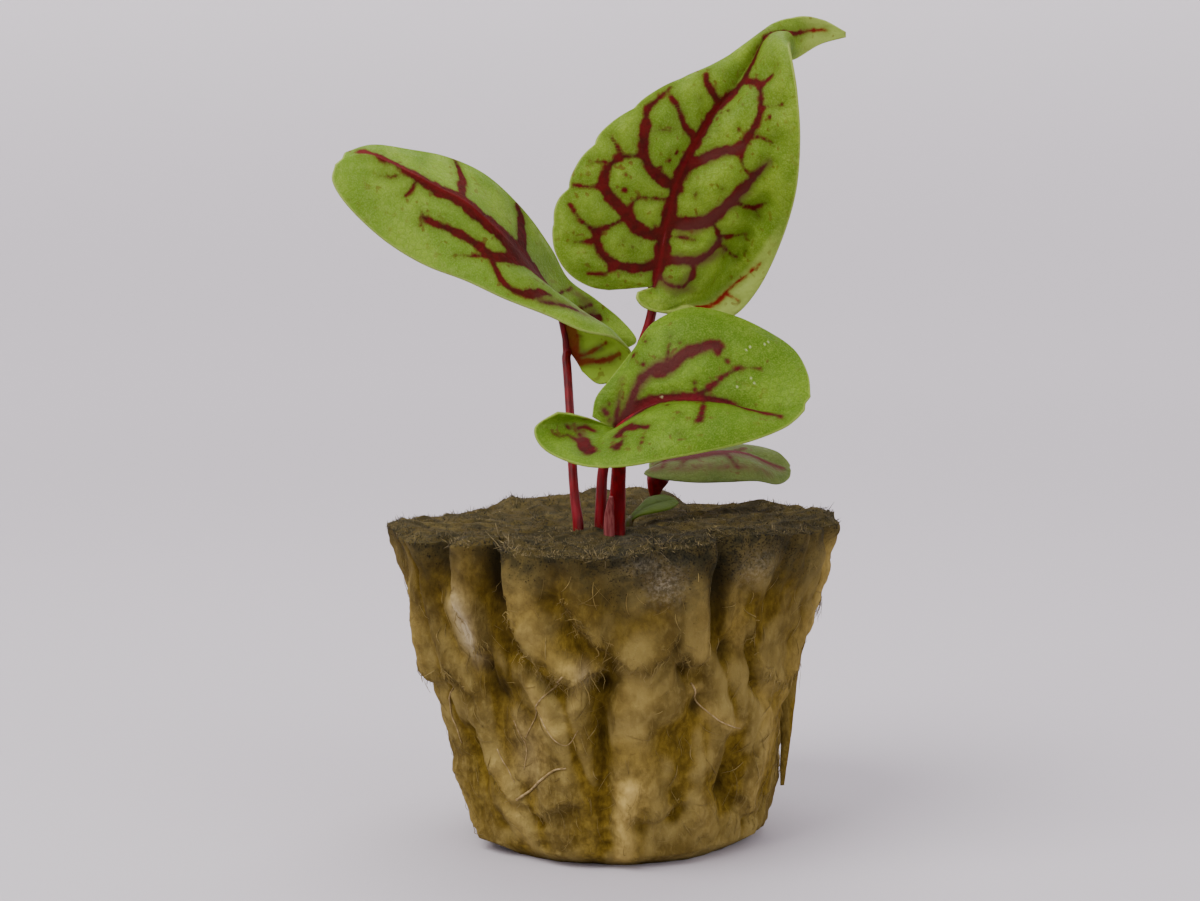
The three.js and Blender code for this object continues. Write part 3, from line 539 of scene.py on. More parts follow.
def wool_marks(turn, height, radius):
    here = on_cone(turn, radius, height)
    drip = 2.6 * soft_noise(here * (1, 1, 0.5), 5, seed=71) + 1.3 * soft_noise(here, 1.7, seed=72)
    front = np.exp(-((turn_between(STAIN_TURN, turn) / STAIN_HALF_TURN) ** 2))
    start = ALGAE_START - STAIN_DROP * front
    band = smooth_step(start, ALGAE_FULL - 2 * front, height + drip)
    # The folds' tone: painted light on raised folds, painted golden and dark shade in sunk ones
    tone = drapes(turn, height)[1]
    return {
        "height": height,
        "groove": wool_folds(turn, height),
        "hollow": taper(height) + 0.7 - radius,
        "algae": band * (0.75 + 0.25 * front),
        "pale": places(PALE_PLACES, turn, height),
        "straw": np.clip(tone, 0, 1),
        # painted golden shade at the golden places and in sunk folds
        "gold": np.maximum(places(GOLD_PLACES, turn, height), np.clip(-tone, 0, 1)),
        # painted shade at the shade places and in the darkest folds
        "dim": np.maximum(places(SHADE_PLACES, turn, height), np.clip(-tone - 0.9, 0, 0.8)),
        "mould": places(MOULD_PLACES, turn, height),
    }


PLUG_COLUMNS = 432
SIDE_ROWS = 150
TOP_ROWS = 46
INNERMOST_RING = 0.015
wool_finish = wool_material()


def build_plug():
    turns = np.linspace(-180, 180, PLUG_COLUMNS, endpoint=False)
    rings, marks = [], []

    def ring(points, height, radius, top_side=0.0):
        rings.append(points)
        here = wool_marks(turns, height, radius)
        here["algae"] = np.maximum(here["algae"], top_side)
        here["hollow"] = np.minimum(here["hollow"], np.where(top_side > 0, 0.3, 9))
        marks.append(here)

    flat = np.zeros_like(turns)
    for share in (0.25, 0.5, 0.75, 1):
        radius = (PLUG_BOTTOM_RADIUS + lumps(turns, flat)) * share
        ring(on_cone(turns, radius, flat), flat, radius + 1.5)
    top = crown_height(turns, 1) - RIM_EDGE
    for level in np.linspace(0, 1, SIDE_ROWS):
        height = PLUG_EDGE_ROUND + (top - PLUG_EDGE_ROUND) * level
        radius = side_radius(turns, height)
        ring(on_cone(turns, radius, height), height, radius)
    for share in 1 - (1 - INNERMOST_RING) * np.linspace(0, 1, TOP_ROWS)[1:] ** 1.15:
        share = np.full_like(turns, share)
        points = crown_point(turns, share)
        ring(points, points[:, 2], taper(points[:, 2]), 0.6 + 0.2 * (1 - share))
    points = np.concatenate(rings)
    faces = ring_quads(len(rings), PLUG_COLUMNS).tolist()
    underside, crown = len(points), len(points) + 1
    last = (len(rings) - 1) * PLUG_COLUMNS
    pairs = [(here, (here + 1) % PLUG_COLUMNS) for here in range(PLUG_COLUMNS)]
    faces += [(underside, b, a) for a, b in pairs]
    faces += [(crown, a + last, b + last) for a, b in pairs]
    middle = crown_point(np.zeros(1), np.zeros(1))[0]
    points = np.vstack([points, [[0, 0, 0]], [middle]])
    stored = {}
    for mark in marks[0]:
        values = np.concatenate([here[mark] for here in marks])
        stored[mark] = np.append(values, [0, values[-1]])
    stored["height"][-1] = middle[2]
    make_piece("wool_plug", points, faces, stored, wool_finish, "stone_wool", "stone_wool_plug")


build_plug()

# Loose fibre on the plug: the torn ends of the wool. Short tips stand up all over the top and
# along the rim, longer ones lie flat against the sides.


def unit(vectors):
    return vectors / (np.linalg.norm(vectors, axis=-1, keepdims=True) + 1e-12)


THREAD_SIDES = 3


def tubes(routes, radii, sides=THREAD_SIDES):
    """Closed tapering tubes, all with the same number of points: routes (n, points, 3)"""
    routes, radii = np.asarray(routes, float), np.asarray(radii, float)
    number, steps = routes.shape[:2]
    along = unit(np.gradient(routes, axis=1))
    aside = unit(np.cross(along, (0.31, 0.52, 0.79)))
    other = np.cross(along, aside)
    angle = 2 * np.pi * np.arange(sides) / sides
    spokes = (np.cos(angle)[:, None] * aside[:, :, None, :]
              + np.sin(angle)[:, None] * other[:, :, None, :])
    rings = routes[:, :, None, :] + spokes * radii[:, :, None, None]
    starts = (steps * sides * np.arange(number))[:, None, None]
    faces = (ring_quads(steps, sides) + starts).reshape(-1, 4).tolist()
    ring = np.arange(sides)
    caps = np.stack([ring[::-1], ring + sides * (steps - 1)])
    faces += (caps + starts).reshape(-1, sides).tolist()
    return rings.reshape(-1, 3), faces


def fibre_material(name, dark, tan, light):
    """Fibre that is dark where it is rooted and paler towards its tip"""
    fibre = Finish(name)
    tint, tip = fibre.marks("tint tip")
    paint = fibre.layers(tan, [
        (fibre.step(tint, 0.2, 0.8), light),
        (fibre.step(tip, 0.75, 0.1), dark),
        (fibre.step(fibre.noise(1.4, 2), 0.6, 0.35, 0, 0.6), dark),
    ])
    return fibre.finish(paint, {"Roughness": 0.75, "Specular IOR Level": 0.25})


TIP_COUNT = 13000
RIM_TIPS = 0.22  # share of the tips that stand in the rim
CROWN_RADIUS = 24  # near enough for the clumps and the tufts
FRONT_HALF_TURN = 60
# Tufts of longer and lighter tips near the front rim: turn, share of the radius
FUZZ_TUFTS = [(12, 0.96), (-30, 0.99), (-4, 0.99)]
TUFT_REACH = 1.1


def build_fuzz():
    """Short curling tips on the top in clumps, longest and palest along the rim"""
    draw = np.random.default_rng(11)
    tries = 3 * TIP_COUNT
    turn = draw.uniform(-180, 180, tries)
    share = np.sqrt(draw.uniform(0, 1, tries))
    rim = draw.uniform(0, 1, tries) < RIM_TIPS
    share = np.where(rim, draw.uniform(0.94, 1.0, tries), share)
    clump = soft_noise(on_cone(turn, CROWN_RADIUS * share, 0.0), 1.5, seed=63)
    kept = np.flatnonzero((clump > draw.uniform(-0.75, 0.5, tries)) | rim)[:TIP_COUNT]
    turn, share, rim, clump = turn[kept], share[kept], rim[kept], clump[kept]
    many = len(turn)
    foot = crown_point(turn, share) - (0, 0, 0.08)
    outward = on_cone(turn, np.ones(many), 0.0)
    lean = draw.normal(0, 0.85, (many, 3)) + (0, 0, 0.8)
    lean = unit(lean + outward * np.where(rim, 0.5, 0.0)[:, None])
    lean[:, 2] = np.abs(lean[:, 2])
    length = draw.gamma(4, 0.11, many)
    length *= np.where(rim & (np.abs(turn) < FRONT_HALF_TURN), 0.8, 0.48)
    flat = on_cone(turn, CROWN_RADIUS * share, 0.0)
    tuft = np.zeros(many)
    for where, reach in FUZZ_TUFTS:
        apart = np.linalg.norm(flat - on_cone(where, CROWN_RADIUS * reach, 0.0), axis=1)
        tuft = np.maximum(tuft, np.exp(-((apart / TUFT_REACH) ** 2)))
    length = (length * (1 + 0.8 * tuft))[:, None, None]
    curl = draw.normal(0, 0.7, (many, 3))
    shares = np.array([0, 0.5, 1])
    route = (foot[:, None] + lean[:, None] * (length * shares[:, None])
             + curl[:, None] * (length * (shares**2)[:, None]))
    radius = np.clip(draw.gamma(5, 0.0075, many), 0.02, 0.08)
    points, faces = tubes(route, radius[:, None] * np.array([1, 0.85, 0.3]))
    front_rim = rim & (np.abs(turn_between(-12, turn)) < 40)
    mottle = 0.2 * clump + 0.25 * soft_noise(flat, 4.5, seed=64)
    tint = np.where(front_rim, 0.46, 0.2) + mottle + draw.normal(0, 0.22, many) + 0.5 * tuft
    marks = {
        "tint": np.repeat(np.clip(tint, 0, 1), len(shares) * THREAD_SIDES),
        "tip": np.tile(np.repeat(shares, THREAD_SIDES), many),
    }
    material = fibre_material("fibre_tips", colour(17, 16, 8), colour(70, 62, 34),
                              colour(130, 114, 76))
    make_piece("wool_fibre_tips", points, faces, marks, material, "stone_wool")


LYING_COUNT = 600
LYING_STEPS = 7
LYING_LEAN = 32  # spread of their headings, in degrees off straight down
FRINGE_CLOSENESS = 2.6  # fibres to a degree of a flap's edge, for 1 mm of lift


def build_side_fibres():
    """Thin fibres that lie against the side, and a fringe along the torn edge of each flap"""
    draw = np.random.default_rng(23)
    many, steps = LYING_COUNT, LYING_STEPS
    turn = draw.uniform(-180, 180, many)
    height = draw.uniform(3, 34, many)
    length = draw.uniform(1, 3.6, many)
    heading = np.radians(draw.normal(0, LYING_LEAN, many))
    bend = draw.normal(0, 0.6, many)
    shares = np.linspace(0, 1, steps)
    angle = heading[:, None] + bend[:, None] * shares
    down = length[:, None] * np.cumsum(np.cos(angle), 1) / steps
    sideways = length[:, None] * np.cumsum(np.sin(angle), 1) / steps
    heights = np.clip(height[:, None] - down, 2, 36)
    turns = turn[:, None] + np.degrees(sideways / taper(heights))
    lift = 0.04 + 0.3 * draw.uniform(0, 1, (many, 1)) ** 3 * np.sin(np.pi * shares)
    routes = [on_cone(turns, side_radius(turns, heights) + lift, heights)]
    for flap in FLAPS:
        edge = np.array(flap[2], float)
        number = int(FRINGE_CLOSENESS * flap[1] * np.abs(np.diff(edge[:, 0])).sum())
        turn = draw.uniform(edge[0, 0] + 1, edge[-1, 0] - 1, number)
        guess = np.interp(turn, edge[:, 0], edge[:, 1])
        low, _ = flap_edge(flap, turn, guess)
        start = low + draw.uniform(0.2, 1.4, number)
        reach = draw.gamma(3, 0.36, number)
        heights = np.maximum(start[:, None] - reach[:, None] * shares, 0.5)
        drift = np.cumsum(draw.normal(0, 0.35, (number, steps)), 1)
        turns = turn[:, None] + drift + draw.normal(0, 1.2, (number, 1)) * shares
        inward = draw.uniform(0.05, 0.5, (number, 1)) * reach[:, None] * shares**2
        radius = side_radius(turns[:, :1], heights[:, :1]) + 0.03 - inward
        routes.append(on_cone(turns, radius, heights))
    routes = np.concatenate(routes)
    many = len(routes)
    thick = np.clip(draw.gamma(4, 0.008, many), 0.018, 0.06)
    radii = thick[:, None] * (0.35 + 0.65 * np.sin(np.pi * np.clip(shares, 0.04, 0.96)))
    points, faces = tubes(routes, radii)
    tint = np.repeat(np.clip(draw.normal(0.4, 0.3, many), 0, 1), steps * THREAD_SIDES)
    marks = {"tint": tint, "tip": np.full(len(tint), 0.8)}
    material = fibre_material("lying_fibre", colour(82, 66, 24), colour(108, 90, 40),
                              colour(136, 118, 66))
    make_piece("wool_side_fibres", points, faces, marks, material, "stone_wool")


# Fine pale roots that have come out of the side, as (turn, height) points
ROOTS = [
    (0.09, [(-14, 22.8), (-17, 21.6), (-20, 20.6), (-23.5, 19.2), (-28, 17), (-32.7, 14.6)]),
    (0.14, [(-38.4, 7.4), (-29.9, 9.4), (-22.6, 11.3), (-17.2, 11.9)]),
    (0.07, [(-44, 13), (-41, 11), (-38.5, 9.4)]),
    (0.07, [(-24, 18), (-20, 15.6), (-16, 14.6), (-12, 16.4)]),
    (0.09, [(22, 21), (25, 18.8), (30, 16.8), (36, 15.6), (41, 15)]),
    (0.07, [(-36, 16.5), (-34, 13.5), (-34.6, 11)]),
    (0.1, [(-62, 20), (-66, 16), (-64, 12.5)]),
    (0.12, [(100, 22), (108, 17.6), (120, 15.4), (126, 11)]),
    (0.12, [(-150, 24), (-144, 19), (-148, 14), (-140, 10.6)]),
]
ROOT_STEPS = 25
ROOT_SIDES = 8


def build_roots():
    lines, radii = [], []
    for radius, route in ROOTS:
        turn, height = smooth_line(route, np.linspace(0, len(route) - 1, ROOT_STEPS)).T
        lines.append(on_cone(turn, side_radius(turn, height) + 0.6 * radius, height))
        radii.append(radius * np.linspace(1.1, 0.6, ROOT_STEPS))
    points, faces = tubes(lines, radii, ROOT_SIDES)
    root = Finish("pale_root")
    tone = root.mix(root.step(root.noise(0.6, 2), 0.35, 0.7), colour(112, 92, 44),
                    colour(148, 126, 84))
    material = root.finish(tone, {"Roughness": 0.7})
    make_piece("fine_roots", points, faces, {}, material, "stone_wool")


# A torn strip that hangs free from the right side: its path and half widths
STRIP = [
    ((20.6, -3.4, 27.5), 0.9), ((20.7, -3.8, 24), 0.9), ((19.7, -4, 19.5), 0.85),
    ((19.1, -4, 15), 0.7), ((18.8, -4, 11), 0.5), ((18.4, -4, 5.8), 0.18),
]
STRIP_BREADTH = 1.1
STRIP_FLATNESS = 0.6
STRIP_SIDES = 40
STRIP_ROWS = 90


def build_strip():
    steps = np.linspace(0, len(STRIP) - 1, STRIP_ROWS)
    line = smooth_line([at for at, _ in STRIP], steps)
    half = smooth_line([[radius] for _, radius in STRIP], steps)[:, 0]
    angle = 2 * np.pi * np.arange(STRIP_SIDES) / STRIP_SIDES
    spokes = np.stack([STRIP_BREADTH * np.cos(angle), STRIP_FLATNESS * np.sin(angle),
                       0 * angle], -1)
    plain = line[:, None] + spokes * half[:, None, None]
    strands = 0.16 * soft_noise(plain * (1, 1, 0.22), 0.8, seed=34)
    grain = 1 + strands + 0.1 * soft_noise(plain, 1.1, seed=35)
    points = (line[:, None] + spokes * (half[:, None] * grain)[..., None]).reshape(-1, 3)
    ring = np.arange(STRIP_SIDES)
    faces = ring_quads(STRIP_ROWS, STRIP_SIDES)[:, [0, 3, 2, 1]].tolist()
    faces += [ring.tolist(), (ring[::-1] + STRIP_SIDES * (STRIP_ROWS - 1)).tolist()]
    # The whole strip gets the painted golden shade of the grooves
    marks = {
        "groove": soft_noise(points * (1, 1, 0.2), 0.9, seed=34),
        "gold": np.full(len(points), 0.6),
    }
    make_piece("hanging_strip", points, faces, marks, wool_finish, "stone_wool")


build_fuzz()
build_side_fibres()
build_roots()
build_strip()

# Leaf blades: thin quilted leaf tissue with a net of dark red veins. The tall, the left and the
# front leaf are full leaves, the small one is still unfolding. Each grows out of its stalk.

CREASE_PLACE = 0.72
CREASE_WIDTH = 0.16
BLADE_THICKNESS = 0.34
EDGE_ROUNDING = 0.22
CORE_WIDTH = 0.3
FACING_REACH = 0.9
WEB_SIZE = 0.16  # how far the corners between two veins are filled

# A station gives the midrib, the left and the right edge, the two bellies and the crease
TALL_BLADE = [
    ((4.8, -8.2, 62.6), (0, -9.8, 62.4), (3, -10.5, 62.2), (0.1, 0.1, 0)),
    ((4.8, -8.2, 62.6), (-2, -10.4, 62.8), (2.9, -10.8, 61.4), (0.3, 0.1, 0)),
    ((4.8, -8.2, 62.6), (-3.8, -10.9, 63.8), (3.8, -10.4, 60.4), (0.5, 0.2, 0)),
    ((4.8, -8.2, 62.6), (-5.2, -11.3, 65.4), (6, -9.2, 59.7), (0.8, 0.3, 0.2)),
    ((5.5, -8, 65.6), (-6, -11.6, 67.7), (9.2, -7, 59.3), (0.9, 0.4, 1)),
    ((6.3, -7.7, 69), (-5.8, -12, 71.1), (13.2, -5, 58.8), (1, 0.5, 2.2)),
    ((7.6, -7.4, 73), (-4.2, -11.5, 74.3), (16.4, -4.5, 61.8), (1, 0.6, 2.8)),
    ((9.2, -7, 76.6), (-1.6, -10.5, 78.4), (18.9, -6, 67), (0.9, 0.8, 2.4)),
    ((11.3, -6.2, 80.5), (2.3, -9, 81.7), (20.4, -8.5, 72.5), (0.7, 0.9, 1)),
    ((13.7, -5.5, 83.5), (6.8, -7, 84.5), (20.8, -10, 78.1), (0.5, 0.8, 0.2)),
    ((15.9, -4.5, 86.5), (11.7, -5, 86.5), (20.5, -10.5, 83.2), (0.3, 0.5, 0)),
    ((17.7, -3.8, 89.3), (15.9, -3.8, 89.1), (19.9, -9.4, 87.5), (0.2, 0.3, 0)),
    ((19.7, -2.2, 90), (18.6, -2.2, 91), (20.1, -5.6, 88.4), (0.1, 0.2, 0)),
    ((22.4, -0.2, 90.4), (21.6, -0.8, 91.8), (20.7, -1.1, 87), (0, 0.1, 0)),
    ((24.7, 0.8, 90.2), (24.3, 0.6, 91.5), (24, 0.4, 88.7), (0, 0, 0)),
    ((27, 1.4, 89.8), (27, 1.3, 90.1), (27, 1.3, 89.5), (0, 0, 0)),
]
LEFT_BLADE = [
    ((-4.6, 2, 55), (-3.3, 1.4, 52.8), (-2.4, 3.7, 54.5), (0.1, -0.1, 0)),
    ((-4.65, 1.95, 55.4), (-1.4, 0.2, 51.4), (-0.4, 5.4, 54.5), (0.3, -0.3, 0)),
    ((-4.7, 1.85, 55.9), (0.8, -0.8, 52.2), (1.8, 6.6, 54.9), (0.4, -0.5, 0)),
    ((-4.8, 1.6, 56.8), (2.4, -1.6, 54.6), (3.1, 7, 55.9), (0.6, -0.6, 0)),
    ((-5.3, 1, 58.7), (0.5, -4.5, 56.8), (1.3, 7, 58.3), (1.1, -0.8, 0)),
    ((-5.9, 0, 60.7), (-3.1, -6, 57.8), (-1.5, 6, 60.7), (1.2, -0.8, 0)),
    ((-7.2, -1.5, 62.8), (-6.8, -7.2, 59.6), (-4.6, 5, 63.1), (1, -0.6, 0)),
    ((-9.2, -3, 65.5), (-11.4, -8.7, 61.6), (-6.5, 4, 66.7), (0.6, -0.4, 0)),
    ((-11.8, -5, 68.5), (-15.5, -10, 63.7), (-9.4, 2, 71), (0.2, -0.3, 0)),
    ((-15, -7, 71.7), (-19.9, -11.5, 65.6), (-13.4, 0, 75), (0, -0.2, 0)),
    ((-18.5, -9, 73.9), (-23.9, -13, 68.3), (-17.5, -3, 77.1), (0, -0.2, 0)),
    ((-22, -11, 75.8), (-27.4, -14, 71.8), (-21.5, -7, 78), (0, -0.1, 0)),
    ((-25.4, -12.5, 77.3), (-29.1, -14.2, 74.6), (-25.1, -10.5, 78.5), (0, 0, 0)),
    ((-28.1, -13.3, 77.1), (-28.8, -13.9, 76.5), (-27.9, -12.7, 77.7), (0, 0, 0)),
]
FRONT_BLADE = [
    ((0.5, -12.6, 47.5), (-2.2, -11.8, 48.9), (-5.8, -15.8, 49.9), (0.2, 0.5, 0)),
    ((0.5, -12.6, 47.5), (-1.7, -11.4, 51), (-8.3, -16.8, 48.3), (0.3, 0.8, 0)),
    ((0.5, -12.6, 47.5), (0.1, -11, 53.1), (-7.2, -18, 46), (0.5, 0.9, 0)),
    ((0.5, -12.6, 47.5), (2.4, -10.6, 55.8), (-3.2, -20, 44.5), (0.7, 0.8, 0)),
    ((3, -14.2, 49.6), (4.8, -10.4, 58.9), (1.2, -21.5, 44.5), (0.8, 0.8, 0)),
    ((6, -15.2, 50.7), (8.8, -10.5, 60.4), (5.8, -22, 45.3), (0.9, 1, 0)),
    ((9.2, -16.2, 50.8), (13.2, -11, 59.5), (10.5, -22, 46.1), (0.9, 1, 0)),
    ((12.4, -16.9, 50.3), (16.8, -12, 57.8), (14.4, -21.5, 46.9), (0.8, 0.8, 0)),
    ((15.2, -17.4, 49.6), (19.6, -13.5, 55.8), (17.7, -20.5, 48), (0.6, 0.6, 0)),
    ((17.8, -18, 49.4), (20.8, -16, 53.4), (19.2, -19.7, 48.9), (0.3, 0.3, 0)),
    ((20.3, -18.4, 50.4), (20.9, -18, 51.1), (20.2, -18.9, 49.8), (0, 0, 0)),
]
SMALL_BLADE = [
    ((4.7, 9, 40.2), (4.3, 9.9, 40.5), (4.1, 8.1, 40.2), (0, 0, 0)),
    ((5.6, 9.2, 40.7), (4.5, 11.5, 41), (3.7, 6.8, 40.2), (0.1, 0.3, 0)),
    ((7, 9.5, 41.4), (6.2, 13, 41.6), (5.4, 5.5, 39.8), (0.2, 0.6, 0)),
    ((9.7, 10, 41.9), (9.9, 14.5, 42.1), (9.4, 4.6, 39.4), (0.3, 1, 0)),
    ((12.7, 10.6, 42.2), (13.2, 15, 42.3), (13.3, 5.2, 39.3), (0.3, 1, 0)),
    ((15.5, 11.2, 42), (16.5, 14.8, 42.4), (16.6, 6.4, 39.2), (0.2, 0.7, 0)),
    ((18.2, 11.8, 41), (19.4, 13.9, 41.8), (19.2, 8.4, 38.5), (0.1, 0.3, 0)),
    ((20.1, 12.2, 40.2), (20.6, 13.3, 40.9), (20.7, 10.4, 38.9), (0, 0.1, 0)),
    ((21, 12.2, 40), (21.1, 12.5, 40.2), (21.1, 11.8, 39.7), (0, 0, 0)),
]

# Veins: width at the start, width at the end, and the route as (along, across) places, along
# from 0 at the stalk to 1 at the tip and across from -1 at the left edge to 1 at the right
TALL_VEINS = [
    (0.5, 1.5, [(0.2, 0), (0.24, 0), (0.29, 0)]),
    (1.5, 1.3, [(0.29, 0), (0.33, -0.01), (0.37, -0.02), (0.404, -0.04)]),
    (1.3, 0.9, [(0.404, -0.04), (0.462, -0.04), (0.52, -0.03), (0.566, -0.02)]),
    (0.9, 0.35, [(0.566, -0.02), (0.628, 0.07), (0.686, 0.06), (0.74, 0.02), (0.8, 0.02)]),
    (0.5, 0.3, [(0.82, 0.2), (0.866, 0.09), (0.93, -0.04)]),
    (0.95, 0.7, [(0.25, -0.02), (0.236, -0.26), (0.236, -0.45), (0.264, -0.59), (0.304, -0.63)]),
    (0.4, 0.15, [(0.284, -0.65), (0.276, -0.81)]),
    (0.55, 0.25, [(0.304, -0.63), (0.32, -0.76), (0.352, -0.9)]),
    (0.5, 0.35, [(0.304, -0.63), (0.332, -0.45), (0.35, -0.4)]),
    (0.4, 0.2, [(0.228, -0.47), (0.2, -0.57), (0.18, -0.75)]),
    (1.25, 0.85, [(0.318, -0.02), (0.318, -0.23), (0.35, -0.43), (0.378, -0.61), (0.4, -0.71)]),
    (0.9, 0.5, [(0.4, -0.71), (0.426, -0.73), (0.446, -0.67), (0.454, -0.5)]),
    (0.4, 0.3, [(0.394, -0.69), (0.39, -0.93)]),
    (0.5, 0.3, [(0.452, -0.68), (0.478, -0.87)]),
    (0.25, 0.15, [(0.436, -0.77), (0.434, -0.9)]),
    (1.2, 0.8, [(0.404, -0.02), (0.422, -0.25), (0.448, -0.44), (0.476, -0.55), (0.506, -0.65)]),
    (0.8, 0.3, [(0.506, -0.65), (0.538, -0.8), (0.562, -0.83), (0.59, -0.87)]),
    (0.3, 0.3, [(0.382, -0.06), (0.38, -0.33), (0.366, -0.39), (0.35, -0.39)]),
    (0.2, 0.15, [(0.498, -0.57), (0.506, -0.33)]),
    (0.8, 0.4, [(0.496, -0.04), (0.514, -0.26), (0.546, -0.48), (0.568, -0.7)]),
    (0.8, 0.5, [(0.57, -0.02), (0.604, -0.41), (0.628, -0.65)]),
    (0.9, 0.6, [(0.26, 0.05), (0.28, 0.13), (0.334, 0.37), (0.37, 0.47), (0.4, 0.51)]),
    (0.5, 0.5, [(0.4, 0.51), (0.408, 0.44), (0.41, 0.33)]),
    (0.5, 0.25, [(0.408, 0.5), (0.444, 0.71)]),
    (0.4, 0.2, [(0.4, 0.55), (0.414, 0.75)]),
    (0.35, 0.2, [(0.334, 0.37), (0.32, 0.48)]),
    (0.22, 0.35, [(0.236, 0.13), (0.246, 0.37), (0.278, 0.52), (0.31, 0.48)]),
    (0.3, 0.2, [(0.31, 0.48), (0.326, 0.38), (0.308, 0.27)]),
    (0.28, 0.2, [(0.336, 0.12), (0.35, 0.2), (0.364, 0.3)]),
    (1.2, 0.75, [(0.345, 0.02), (0.4, 0.31), (0.444, 0.42), (0.484, 0.5)]),
    (0.9, 0.35, [(0.484, 0.5), (0.512, 0.57), (0.538, 0.65)]),
    (0.4, 0.3, [(0.464, 0.52), (0.48, 0.66), (0.498, 0.77)]),
    (0.3, 0.2, [(0.48, 0.67), (0.478, 0.77)]),
    (1.2, 0.7, [(0.45, 0.0), (0.464, 0.05), (0.502, 0.2), (0.524, 0.35), (0.556, 0.42)]),
    (0.7, 0.5, [(0.556, 0.42), (0.586, 0.45), (0.614, 0.43), (0.638, 0.32), (0.63, 0.12)]),
    (0.35, 0.2, [(0.56, 0.49), (0.57, 0.67)]),
    (0.4, 0.3, [(0.642, 0.39), (0.672, 0.55)]),
    (0.4, 0.25, [(0.524, 0.39), (0.508, 0.46), (0.51, 0.55)]),
    (0.2, 0.2, [(0.606, 0.47), (0.632, 0.75)]),
    (0.22, 0.46, [(0.43, 0.92), (0.402, 0.87), (0.362, 0.83), (0.29, 0.85)]),
    (0.2, 0.12, [(0.36, 0.85), (0.366, 0.93)]),
]
LEFT_VEINS = [
    (1.6, 1.5, [(0.077, 0), (0.408, 0), (0.5, 0.02), (0.544, 0.04), (0.588, 0.02)]),
    (1.5, 0.8, [(0.588, 0.02), (0.63, 0.03), (0.672, -0.02), (0.722, 0.01), (0.764, -0.02)]),
    (0.8, 0.35, [(0.764, -0.02), (0.816, 0.01), (0.854, 0.08), (0.898, 0.11), (0.955, 0.3)]),
    (0.75, 0.35, [(0.712, 0.04), (0.722, 0.3), (0.73, 0.6), (0.756, 0.95)]),
    (1.0, 0.45, [(0.556, 0.05), (0.588, 0.5), (0.61, 0.8), (0.628, 0.93)]),
    (1.1, 0.6, [(0.545, -0.04), (0.565, -0.18), (0.602, -0.41), (0.634, -0.4)]),
    (0.6, 0.35, [(0.634, -0.4), (0.684, -0.41), (0.718, -0.45), (0.75, -0.46)]),
    (0.2, 0.12, [(0.75, -0.45), (0.758, -0.4)]),
    (0.2, 0.12, [(0.746, -0.48), (0.744, -0.57)]),
    (0.34, 0.12, [(0.816, 0.04), (0.806, -0.1), (0.8, -0.24), (0.8, -0.34)]),
    (0.16, 0.1, [(0.84, -0.14), (0.866, -0.3)]),
    (0.2, 0.12, [(0.615, -0.46), (0.636, -0.6), (0.66, -0.72)]),
    (0.4, 0.5, [(0.6, -0.5), (0.575, -0.68), (0.545, -0.8), (0.516, -0.78), (0.498, -0.7)]),
    (0.7, 0.3, [(0.51, -0.75), (0.492, -0.6), (0.47, -0.55)]),
    (0.3, 0.2, [(0.486, -0.81), (0.44, -0.67), (0.396, -0.6)]),
    (0.7, 0.6, [(0.281, 0.02), (0.298, 0.4), (0.31, 0.68)]),
    (0.4, 0.2, [(0.323, 0.1), (0.362, 0.77)]),
    (0.4, 0.2, [(0.408, 0.05), (0.436, 0.85)]),
    (0.42, 0.34, [(0.03, -0.38), (0.118, -0.43), (0.164, -0.61), (0.198, -0.73), (0.225, -0.81)]),
    (0.3, 0.18, [(0.046, -0.15), (0.182, -0.39), (0.224, -0.5), (0.258, -0.62)]),
    (0.6, 0.3, [(0.08, 0), (0.178, -0.04), (0.242, -0.13)]),
]
